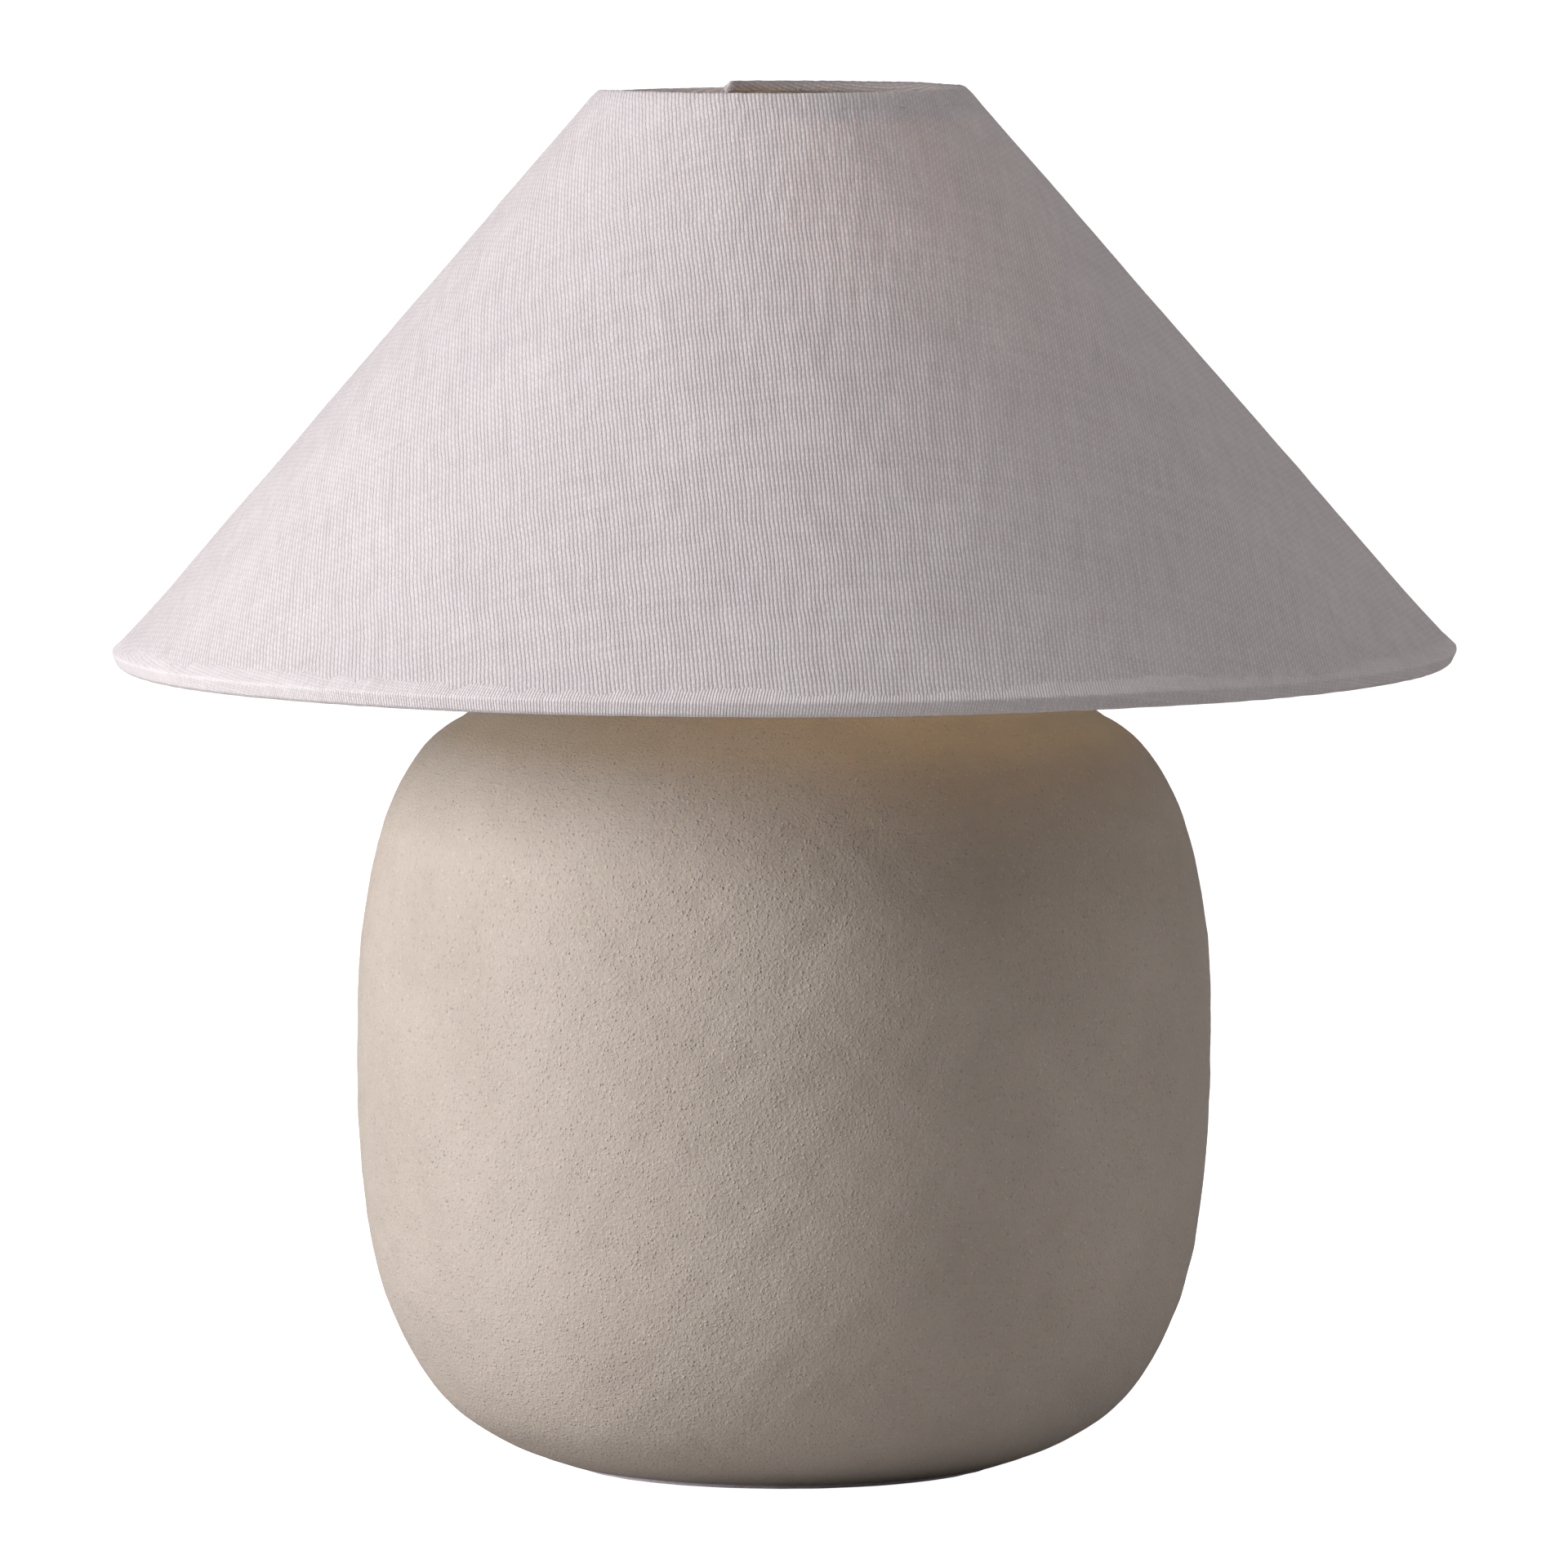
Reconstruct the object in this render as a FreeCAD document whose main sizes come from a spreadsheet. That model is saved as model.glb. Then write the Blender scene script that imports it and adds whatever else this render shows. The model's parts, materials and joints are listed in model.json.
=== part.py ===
"""Table lamp: a hollow stoneware body, a wide conical fabric shade on an E27 lampholder, and a candle bulb.

Millimetres, +Z up. The origin is the bottom centre of the foot pad. The front of the lamp faces -Y and the cable
entry is low in the rear wall, towards +Y. One of the shade's three spider arms stands almost at the front.
"""

import FreeCAD, Part
import math
import os

import Sketcher

os.makedirs("parts", exist_ok=True)
doc = FreeCAD.newDocument("table_lamp")
V3 = FreeCAD.Vector

# ----------------------------------------------------------------------------------------------------------------
# Driving dimensions. Radii are distances from the lamp's vertical axis, "z" values are heights above the table.
# ----------------------------------------------------------------------------------------------------------------
NUMBERS = {
    # stoneware body, outer profile: tangent arcs from the crown down to the foot
    "body_max_rad": 107.24,
    "crown_z": 209.84, "crown_rad": 16.56,
    "upper_a_rad": 74.27, "upper_a_z": 194.38, "upper_b_rad": 101.14, "upper_b_z": 159.88, "belt_top_z": 116.0,
    "belt_low_z": 100.0, "lower_a_rad": 103.913, "lower_a_z": 57.445, "lower_b_rad": 91.536, "lower_b_z": 24.217,
    "lower_c_rad": 63.429, "lower_c_z": 2.809, "foot_edge_rad": 58.4,
    "arc_crown": 115.424, "arc_shoulder": 58.171, "arc_upper_side": 160.791,
    "arc_lower_side": 273.789, "arc_haunch": 89.023, "arc_heel": 49.774,
    "wall": 5.0, "inner_floor_z": 8.5, "base_hole_rad": 36.0, "rebate_rad": 44.0, "rebate_z": 3.5,
    "pad_thick": 1.5, "pad_rad": 54.0, "plate_rad": 43.5, "plate_thick": 2.0,
    "neck_hole_rad": 5.6,
    # neck stack
    "nipple_rad": 5.0, "nipple_bore": 4.0, "nipple_low_z": 195.0, "nipple_top_z": 221.0,
    "seal_thick": 0.95, "seal_rad": 14.0, "cap_rad": 16.0, "cap_thick": 2.7, "stack_hole": 5.3,
    "clamp_washer_rad": 14.0, "clamp_washer_thick": 1.5, "lock_thick": 1.0, "lock_rad": 9.0,
    "nut_flats": 14.0, "nut_thick": 4.0,
    # lampholder, E27
    "holder_z": 213.5, "boss_rad": 8.0, "boss_top_z": 218.5, "cup_rad": 17.5, "cup_z": 225.0, "cup_top_z": 238.0,
    "cup_bore": 15.0, "cup_floor_z": 221.3, "cup_corner_z": 226.3,
    "block_rad": 14.7, "block_z": 229.0, "block_top_z": 239.0,
    "shell_z": 238.05, "shoulder_z": 240.5, "seat_z": 243.0, "shoulder_rad": 25.0, "thread_rad": 19.5,
    "shell_top_z": 270.0, "shell_bore": 14.2, "shell_chamber": 15.5,
    "terminal_x": 8.2, "screw_shell_rad": 14.0, "screw_shell_bore": 13.5, "screw_shell_top": 262.0,
    # shade fitting
    "washer_thick": 1.0, "washer_rad": 24.6, "washer_bore": 19.9, "gap": 0.05,
    "fitter_bore": 21.0, "fitter_rad": 26.0, "fitter_thick": 1.6,
    "ring_bore": 19.8, "ring_flange_rad": 23.2, "ring_flange_thick": 2.4, "ring_collar_rad": 22.2, "ring_height": 8.0,
    "ring_ribs": 24.0, "rib_out": 0.6, "rib_wide": 1.6,
    "arm_rad": 1.25, "arm_start": 25.4, "arm_knee": 30.5, "arm_bend": 5.0, "arm_top_rad": 44.5, "arm_top_z": 343.4,
    "arm_azimuth": 264.8,
    # shade
    "shade_top_rad": 45.85, "shade_top_z": 346.0, "normal_out": 0.756, "normal_up": 0.6547,
    "hem_rad": 2.28, "hem_ring": 166.22, "hem_z": 204.1, "hem_offset": 1.92, "hem_wire": 1.55, "hem_bore": 1.6,
    "rim_rad": 1.6, "rim_ring": 44.92, "rim_z": 344.4, "rim_offset": 1.75, "rim_wire": 1.05, "rim_bore": 1.1,
    "hem_clear": 2.3, "rim_clear": 1.95,
    "cover_thick": 0.55, "lining_thick": 0.5, "laminate_gap": 0.02,
    # bulb, E27 candle form
    "bulb_z": 241.05, "tip_rad": 4.6, "insulator_rad": 11.4, "bulb_cap_rad": 13.1, "bulb_cap_wall": 0.35,
    "bulb_neck_rad": 12.0, "bulb_glass_rad": 17.5, "bulb_waist_z": 294.0, "bulb_top_z": 338.0, "glass_wall": 0.8,
    "stem_rad": 2.2, "filament_rad": 0.75, "filament_ring": 5.0, "filament_low_z": 285.0, "filament_top_z": 316.0,
    # cable entry bushing, set square to the rear wall
    "entry_y": 97.26, "entry_z": 34.98, "entry_tilt": 24.06, "entry_hole": 6.0, "entry_face": 8.3,
    "bush_flange": 7.8, "bush_barrel": 5.8, "bush_lip": 6.7, "bush_bore": 3.4,
    # inner wiring
    "lead_rad": 1.0, "lead_x": 1.7, "block_x": 16.0, "block_y": 14.0, "block_tall": 11.0, "block_mid_y": 25.0,
    "pole_x": 4.0, "pole_z": 8.0, "pole_hole": 1.9, "pole_screw": 1.25, "pole_pitch": 8.0,
}

sheet = doc.addObject("Spreadsheet::Sheet", "Dims")
for row, (name, number) in enumerate(NUMBERS.items(), start=1):
    sheet.set(f"A{row}", name)
    sheet.set(f"B{row}", repr(float(number)))
    sheet.setAlias(f"B{row}", name)
doc.recompute()


class Dim:
    """A length with its number and the expression that ties it to the sheet."""

    def __init__(self, text, value):
        self.text, self.value = text, value

    @staticmethod
    def of(other):
        return other if isinstance(other, Dim) else Dim(repr(float(other)), float(other))

    def __add__(self, other):
        o = Dim.of(other)
        return Dim(f"({self.text} + {o.text})", self.value + o.value)

    __radd__ = __add__

    def __sub__(self, other):
        o = Dim.of(other)
        return Dim(f"({self.text} - {o.text})", self.value - o.value)

    def __rsub__(self, other):
        return Dim.of(other) - self

    def __mul__(self, other):
        o = Dim.of(other)
        return Dim(f"({self.text} * {o.text})", self.value * o.value)

    __rmul__ = __mul__

    def __truediv__(self, other):
        o = Dim.of(other)
        return Dim(f"({self.text} / {o.text})", self.value / o.value)

    def __neg__(self):
        return Dim(f"(0 - {self.text})", -self.value)


class Sheet:
    def __getattr__(self, name):
        return Dim("Dims." + name, float(NUMBERS[name]))


D = Sheet()
OUT = {}  # node name -> document object


def bind(obj, prop, dim):
    obj.setExpression(prop, Dim.of(dim).text)


def new_body(label):
    body = doc.addObject("PartDesign::Body", label)
    body.Label = label
    OUT[label] = body
    return body


def sketch_on(body, role, name, lift=None):
    plane = [f for f in body.Origin.OriginFeatures if f.Role == role][0]
    s = body.newObject("Sketcher::SketchObject", name)
    s.AttachmentSupport = [(plane, "")]
    s.MapMode = "FlatFace"
    if lift is not None:
        s.AttachmentOffset = FreeCAD.Placement(V3(0, 0, Dim.of(lift).value), FreeCAD.Rotation())
        bind(s, "AttachmentOffset.Base.z", lift)
    return s


def pin(s, geo, pos, x, y):
    """Holds a point at (x, y), each value tied to the sheet."""
    x, y = Dim.of(x), Dim.of(y)
    for kind, d, axis in (("DistanceX", x, -2), ("DistanceY", y, -1)):
        if abs(d.value) < 1e-9:
            s.addConstraint(Sketcher.Constraint("PointOnObject", geo, pos, axis))
        elif d.value > 0:
            i = s.addConstraint(Sketcher.Constraint(kind, -1, 1, geo, pos, d.value))
            s.setExpression(f"Constraints[{i}]", d.text)
        else:
            i = s.addConstraint(Sketcher.Constraint(kind, geo, pos, -1, 1, -d.value))
            s.setExpression(f"Constraints[{i}]", (-d).text)


def outline(s, points):
    """A closed outline. Each point is (x, y) or (x, y, radius): radius bends the edge that leaves the point, with
    its centre on the left of the edge when positive and on the right when negative."""
    n = len(points)
    ends = []
    for i in range(n):
        p, q = points[i], points[(i + 1) % n]
        a = V3(Dim.of(p[0]).value, Dim.of(p[1]).value, 0)
        b = V3(Dim.of(q[0]).value, Dim.of(q[1]).value, 0)
        if len(p) == 2:
            g = s.addGeometry(Part.LineSegment(a, b), False)
            ends.append((g, 1, 2))
            continue
        r = Dim.of(p[2])
        radius = abs(r.value)
        along = b - a
        half = along.Length / 2
        left = V3(-along.y, along.x, 0).normalize()
        side = 1 if r.value > 0 else -1
        c = (a + b) / 2 + left * side * math.sqrt(radius * radius - half * half)
        ta, tb = math.atan2(a.y - c.y, a.x - c.x), math.atan2(b.y - c.y, b.x - c.x)
        if side < 0:
            ta, tb = tb, ta
        if tb < ta:
            tb += 2 * math.pi
        g = s.addGeometry(Part.ArcOfCircle(Part.Circle(c, V3(0, 0, 1), radius), ta, tb), False)
        ends.append((g, 1, 2) if side > 0 else (g, 2, 1))
    for i in range(n):
        g, start, end = ends[i]
        h, hstart, hend = ends[(i + 1) % n]
        s.addConstraint(Sketcher.Constraint("Coincident", g, end, h, hstart))
    for i in range(n):
        g, start, end = ends[i]
        pin(s, g, start, points[i][0], points[i][1])
        if len(points[i]) == 3:
            r = Dim.of(points[i][2])
            k = s.addConstraint(Sketcher.Constraint("Radius", g, abs(r.value)))
            s.setExpression(f"Constraints[{k}]", r.text if r.value > 0 else (-r).text)


def ring_outline(s, x, y, r):
    r = Dim.of(r)
    g = s.addGeometry(Part.Circle(V3(Dim.of(x).value, Dim.of(y).value, 0), V3(0, 0, 1), r.value), False)
    k = s.addConstraint(Sketcher.Constraint("Radius", g, r.value))
    s.setExpression(f"Constraints[{k}]", r.text)
    if abs(Dim.of(x).value) < 1e-9 and abs(Dim.of(y).value) < 1e-9:
        s.addConstraint(Sketcher.Constraint("Coincident", g, 3, -1, 1))
    else:
        pin(s, g, 3, x, y)


def turn(body, points, name="profile"):
    """A revolution about the body's vertical axis of an outline in the plane through it."""
    s = sketch_on(body, "XZ_Plane", name)
    outline(s, points)
    f = body.newObject("PartDesign::Revolution", name + "_turn")
    f.Profile = s
    f.ReferenceAxis = (s, ["V_Axis"])
    f.Angle = 360.0
    s.Visibility = False
    return f


def turned_ring(body, x, z, r, name="section"):
    s = sketch_on(body, "XZ_Plane", name)
    ring_outline(s, x, z, r)
    f = body.newObject("PartDesign::Revolution", name + "_turn")
    f.Profile = s
    f.ReferenceAxis = (s, ["V_Axis"])
    f.Angle = 360.0
    return f


def pad(body, s, length, name, reverse=False, both=False):
    f = body.newObject("PartDesign::Pad", name)
    f.Profile = s
    f.Length = Dim.of(length).value
    bind(f, "Length", length)
    f.Reversed = reverse
    if both:
        f.Midplane = True
    return f


def place(obj, x=0, y=0, z=0, rotation=None):
    x, y, z = Dim.of(x), Dim.of(y), Dim.of(z)
    obj.Placement = FreeCAD.Placement(V3(x.value, y.value, z.value), rotation or FreeCAD.Rotation())
    for axis, d in (("x", x), ("y", y), ("z", z)):
        if "Dims" in d.text:
            bind(obj, f"Placement.Base.{axis}", d)


def cylinder(label, r, height, x=0, y=0, z=0, rotation=None):
    c = doc.addObject("Part::Cylinder", label)
    bind(c, "Radius", r)
    bind(c, "Height", height)
    c.Radius, c.Height = Dim.of(r).value, Dim.of(height).value
    place(c, x, y, z, rotation)
    return c


def box(label, dx, dy, dz, x, y, z):
    b = doc.addObject("Part::Box", label)
    for prop, d in (("Length", dx), ("Width", dy), ("Height", dz)):
        setattr(b, prop, Dim.of(d).value)
        bind(b, prop, d)
    place(b, x, y, z)
    return b


def cut(label, base, tool, node=True):
    c = doc.addObject("Part::Cut", label)
    c.Base, c.Tool = base, tool
    c.Label = label
    if node:
        OUT[label] = c
    return c


def group(label, kids, node=True):
    g = doc.addObject("Part::Compound", label)
    g.Links = kids
    g.Label = label
    if node:
        OUT[label] = g
    return g


def washer(label, inner, outer, low, thick):
    return cut(label, cylinder(label + "_disc", outer, thick, z=low),
               cylinder(label + "_hole", inner, Dim.of(thick) + 2, z=Dim.of(low) - 1))


RX = FreeCAD.Rotation(V3(1, 0, 0), -90)   # turns a cylinder's axis from +Z to +Y
RYP = FreeCAD.Rotation(V3(0, 1, 0), 90)   # from +Z to +X
RYN = FreeCAD.Rotation(V3(0, 1, 0), -90)  # from +Z to -X

# ----------------------------------------------------------------------------------------------------------------
# Stoneware body: one hollow turned shell, with a neck hole, an open foot with a rebate, and a hole for the cable
# ----------------------------------------------------------------------------------------------------------------
shell = new_body("ceramic_shell")
turn(shell, [
    (D.rebate_rad, D.pad_thick),
    (D.foot_edge_rad, D.pad_thick),
    (D.lower_c_rad, D.lower_c_z, D.arc_heel),
    (D.lower_b_rad, D.lower_b_z, D.arc_haunch),
    (D.lower_a_rad, D.lower_a_z, D.arc_lower_side),
    (D.body_max_rad, D.belt_low_z),
    (D.body_max_rad, D.belt_top_z, D.arc_upper_side),
    (D.upper_b_rad, D.upper_b_z, D.arc_shoulder),
    (D.upper_a_rad, D.upper_a_z, D.arc_crown),
    (D.crown_rad, D.crown_z),
    (D.neck_hole_rad, D.crown_z),
    (D.neck_hole_rad, D.crown_z - D.wall),
    (D.crown_rad, D.crown_z - D.wall, -(D.arc_crown - D.wall)),
    (D.upper_a_rad - D.wall * 0.5, D.upper_a_z - D.wall * 0.866, -(D.arc_shoulder - D.wall)),
    (D.upper_b_rad - D.wall * 0.962, D.upper_b_z - D.wall * 0.2729, -(D.arc_upper_side - D.wall)),
    (D.body_max_rad - D.wall, D.belt_top_z),
    (D.body_max_rad - D.wall, D.belt_low_z, -(D.arc_lower_side - D.wall)),
    (D.lower_a_rad - D.wall * 0.9878, D.lower_a_z + D.wall * 0.1554, -(D.arc_haunch - D.wall)),
    (D.lower_b_rad - D.wall * 0.8488, D.lower_b_z + D.wall * 0.5287, -(D.arc_heel - D.wall)),
    (62.0, D.inner_floor_z),
    (D.base_hole_rad, D.inner_floor_z),
    (D.base_hole_rad, D.rebate_z),
    (D.rebate_rad, D.rebate_z),
])
OUT.pop("ceramic_shell")
TILT = NUMBERS["entry_tilt"]
entry_turn = FreeCAD.Rotation(V3(1, 0, 0), -90 - TILT)  # +Z becomes the outward, slightly downward normal of the wall
entry_out = entry_turn.multVec(V3(0, 0, 1))
drill = cylinder("entry_drill", D.entry_hole, 30.0, 0, D.entry_y - 15 * entry_out.y, D.entry_z - 15 * entry_out.z,
                 entry_turn)
spot = cylinder("entry_spot_face", D.entry_face, 6.0, 0, D.entry_y - 0.6 * entry_out.y, D.entry_z - 0.6 * entry_out.z,
                entry_turn)
entry_tools = doc.addObject("Part::Fuse", "entry_tools")
entry_tools.Base, entry_tools.Tool = drill, spot
cut("ceramic_body", shell, entry_tools)

pad_body = new_body("foot_pad")
s = sketch_on(pad_body, "XY_Plane", "disc")
ring_outline(s, 0, 0, D.pad_rad)
pad(pad_body, s, D.pad_thick, "felt")

plate = new_body("bottom_plate")
s = sketch_on(plate, "XY_Plane", "disc", D.pad_thick)
ring_outline(s, 0, 0, D.plate_rad)
pad(plate, s, D.plate_thick, "board")

bushing = new_body("cable_bushing")
turn(bushing, [
    (D.bush_bore, -8.0), (D.bush_barrel - 0.6, -8.0), (D.bush_lip, -5.9), (D.bush_lip, -5.35),
    (D.bush_barrel, -5.2), (D.bush_barrel, -0.55), (D.bush_flange, -0.55), (D.bush_flange, 0.7),
    (D.bush_flange - 0.8, 1.5), (D.bush_bore + 0.6, 1.5), (D.bush_bore, 0.9),
])
place(bushing, 0, D.entry_y, D.entry_z, entry_turn)

# ----------------------------------------------------------------------------------------------------------------
# Neck: a hollow M10 nipple clamps the neck cap to the crown of the body
# ----------------------------------------------------------------------------------------------------------------
nipple = new_body("threaded_nipple")
turn(nipple, [(D.nipple_bore, D.nipple_low_z), (D.nipple_rad - 0.5, D.nipple_low_z), (D.nipple_rad, D.nipple_low_z + 0.5),
              (D.nipple_rad, D.nipple_top_z - 0.5), (D.nipple_rad - 0.5, D.nipple_top_z), (D.nipple_bore, D.nipple_top_z)])
seal_low = D.crown_z + 0.01
washer("seal_washer", D.stack_hole, D.seal_rad, seal_low, D.seal_thick - 0.02)
neck = new_body("neck_cap")
cap_low = D.crown_z + D.seal_thick
turn(neck, [(D.stack_hole, cap_low), (D.cap_rad - 0.4, cap_low), (D.cap_rad, cap_low + 0.4), (D.cap_rad, cap_low + 1.2, 1.5),
            (D.cap_rad - 1.5, cap_low + D.cap_thick), (D.stack_hole, cap_low + D.cap_thick)])
under = D.crown_z - D.wall
washer("clamp_washer", D.stack_hole, D.clamp_washer_rad, under - D.clamp_washer_thick - 0.01, D.clamp_washer_thick)
lock_low = under - D.clamp_washer_thick - D.lock_thick - 0.02
lock_ring = washer("lock_ring_blank", D.stack_hole, D.lock_rad, lock_low, D.lock_thick)
OUT.pop("lock_ring_blank")
cut("lock_washer", lock_ring, box("lock_slit", 6.0, 1.0, 3.0, 4.5, -0.5, lock_low - 1))
hexa = doc.addObject("Part::Prism", "hex_blank")
hexa.Polygon = 6
bind(hexa, "Circumradius", D.nut_flats / math.sqrt(3))
hexa.Circumradius = NUMBERS["nut_flats"] / math.sqrt(3)
bind(hexa, "Height", D.nut_thick)
nut_low = lock_low - D.nut_thick - 0.02
place(hexa, 0, 0, nut_low)
cut("hex_nut", hexa, cylinder("nut_bore", D.nipple_rad + 0.04, D.nut_thick + 2, z=nut_low - 1))

# ----------------------------------------------------------------------------------------------------------------
# Lampholder, E27: lower cap, outer shell with a threaded skirt and a shoulder, contact block and contacts
# ----------------------------------------------------------------------------------------------------------------
cap_shell = new_body("holder_cap_turned")
turn(cap_shell, [
    (D.nipple_rad + 0.04, D.holder_z), (D.boss_rad - 0.5, D.holder_z), (D.boss_rad, D.holder_z + 0.5),
    (D.boss_rad, D.boss_top_z), (D.cup_rad, D.cup_z), (D.cup_rad, D.cup_top_z), (D.cup_bore, D.cup_top_z),
    (D.cup_bore, D.cup_corner_z), (D.nipple_rad + 0.04, D.cup_floor_z),
])
OUT.pop("holder_cap_turned")
cut("holder_cap", cap_shell, cylinder("grub_hole", 1.55, 12.0, 0, 0.0, 216.0, RX))
grub = cylinder("grub_screw_blank", 1.5, 3.9, 0, D.nipple_rad + 0.1, 216.0, RX)
cut("holder_grub_screw", grub, box("grub_slot", 4.0, 1.0, 0.6, -2.0, 8.3, 215.7))

holder = new_body("holder_shell")
turn(holder, [
    (D.shell_chamber, D.shell_z), (D.cup_rad, D.shell_z), (D.cup_rad, D.shoulder_z), (D.shoulder_rad - 0.4, D.shoulder_z),
    (D.shoulder_rad, D.shoulder_z + 0.4), (D.shoulder_rad, D.seat_z - 0.4), (D.shoulder_rad - 0.4, D.seat_z),
    (D.thread_rad - 0.7, D.seat_z), (D.thread_rad - 0.7, D.seat_z + 1.0), (D.thread_rad, D.seat_z + 1.7),
    (D.thread_rad, D.shell_top_z - 0.8), (D.thread_rad - 0.8, D.shell_top_z), (D.shell_bore + 0.8, D.shell_top_z),
    (D.shell_bore, D.shell_top_z - 0.8), (D.shell_bore, D.seat_z + 2.0), (D.shell_chamber, D.seat_z + 1.0),
])

insert = cylinder("block_blank", D.block_rad, D.block_top_z - D.block_z, z=D.block_z)
pockets = [
    box("pocket_right", 6.4, 7.4, 9.0, D.terminal_x - 3.2, -3.7, D.block_z - 1),
    box("pocket_left", 6.4, 7.4, 9.0, -D.terminal_x - 3.2, -3.7, D.block_z - 1),
    box("slot_right", 1.2, 6.4, 6.0, 9.4, -3.2, 235.0),
    box("slot_left", 1.2, 4.8, 6.0, -10.6, -2.4, 235.0),
    cylinder("driver_right", 2.7, 6.0, 11.0, 0, 234.0, RYP),
    cylinder("driver_left", 2.7, 6.0, -11.0, 0, 234.0, RYN),
]
pocket_tool = doc.addObject("Part::MultiFuse", "pocket_tool")
pocket_tool.Shapes = pockets
cut("contact_block", insert, pocket_tool)

terminals, screws = [], []
for side, sign, rot in (("right", 1, RYP), ("left", -1, RYN)):
    blank = box(f"terminal_blank_{side}", 6.0, 7.0, 6.9, D.terminal_x * sign - 3.0, -3.5, 229.4)
    bores = doc.addObject("Part::Fuse", f"terminal_bores_{side}")
    bores.Base = cylinder(f"terminal_wire_{side}", 1.2, 6.0, D.terminal_x * sign, 0, 228.0)
    bores.Tool = cylinder(f"terminal_tap_{side}", 1.45, 4.0, (D.terminal_x - 0.5) * sign, 0, 234.0, rot)
    terminals.append(cut(f"terminal_{side}", blank, bores, node=False))
    shank = cylinder(f"screw_shank_{side}", 1.4, 3.0, 9.3 * sign, 0, 234.0, rot)
    head = cylinder(f"screw_head_{side}", 2.4, 1.5, 12.25 * sign, 0, 234.0, rot)
    screw = doc.addObject("Part::Fuse", f"screw_solid_{side}")
    screw.Base, screw.Tool = shank, head
    slot = box(f"screw_slot_{side}", 1.2, 6.0, 0.6, (13.35 if sign > 0 else -14.55), -3.0, 233.7)
    screws.append(cut(f"terminal_screw_{side}", screw, slot, node=False))
group("holder_terminals", terminals)
group("terminal_screws", screws)

tongue = new_body("centre_contact")
s = sketch_on(tongue, "XZ_Plane", "strip")
outline(s, [(9.75, 236.4), (10.25, 236.4), (10.25, 239.6), (5.4, 239.6), (2.3, 240.95), (-2.6, 240.95), (-2.6, 240.4),
            (2.0, 240.4), (5.0, 239.05), (9.75, 239.05)])
pad(tongue, s, 6.0, "spring", both=True)

contact_ring = new_body("screw_shell_contact")
turn(contact_ring, [(D.screw_shell_bore, D.seat_z + 0.5), (D.screw_shell_rad, D.seat_z + 0.5),
                    (D.screw_shell_rad, D.screw_shell_top), (D.screw_shell_bore, D.screw_shell_top)], "tube")
s = sketch_on(contact_ring, "XZ_Plane", "leg")
outline(s, [(-14.0, 244.5), (-14.0, 239.05), (-10.3, 239.05), (-10.3, 236.4), (-9.7, 236.4), (-9.7, 239.6),
            (-13.52, 239.6), (-13.52, 244.5)])
pad(contact_ring, s, 4.0, "leg_strip", both=True)

# ----------------------------------------------------------------------------------------------------------------
# Shade fitting: the seat washer lies on the shoulder, the shade's fitter ring on it, and the clamp ring on top
# ----------------------------------------------------------------------------------------------------------------
washer_low = D.seat_z + D.gap
washer("shade_seat_washer", D.washer_bore, D.washer_rad, washer_low, D.washer_thick)
fitter_low = washer_low + D.washer_thick + D.gap
washer("fitter_ring", D.fitter_bore, D.fitter_rad, fitter_low, D.fitter_thick)
ring_low = fitter_low + D.fitter_thick + D.gap

clamp = new_body("clamp_ring")
turn(clamp, [
    (D.ring_bore, ring_low), (D.ring_flange_rad, ring_low), (D.ring_flange_rad, ring_low + D.ring_flange_thick - 0.5),
    (D.ring_flange_rad - 0.5, ring_low + D.ring_flange_thick), (D.ring_collar_rad, ring_low + D.ring_flange_thick),
    (D.ring_collar_rad, ring_low + D.ring_height - 0.5), (D.ring_collar_rad - 0.5, ring_low + D.ring_height),
    (D.ring_bore + 0.4, ring_low + D.ring_height), (D.ring_bore, ring_low + D.ring_height - 0.4),
])
s = sketch_on(clamp, "XY_Plane", "rib", ring_low + 1.0)
outline(s, [(D.ring_collar_rad - 1.0, -D.rib_wide / 2), (D.ring_collar_rad + D.rib_out, -D.rib_wide / 2),
            (D.ring_collar_rad + D.rib_out, D.rib_wide / 2), (D.ring_collar_rad - 1.0, D.rib_wide / 2)])
rib = pad(clamp, s, D.ring_height - 1.6, "grip_rib")
doc.recompute()
ribs = clamp.newObject("PartDesign::PolarPattern", "grip_ribs")
ribs.Originals = [rib]
axis_z = [f for f in clamp.Origin.OriginFeatures if f.Role == "Z_Axis"][0]
ribs.Axis = (axis_z, [""])
ribs.Angle = 360
ribs.Occurrences = int(NUMBERS["ring_ribs"])
clamp.Tip = ribs

# Spider: three bent rods, butt-welded to the fitter ring and to the top wire ring.
doc.recompute()
arm_z = (fitter_low + D.fitter_thick / 2).value
knee = V3(NUMBERS["arm_knee"], 0, arm_z)
arm_a = V3(NUMBERS["arm_start"], 0, arm_z)
arm_b = V3(NUMBERS["arm_top_rad"], 0, NUMBERS["arm_top_z"])


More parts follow.
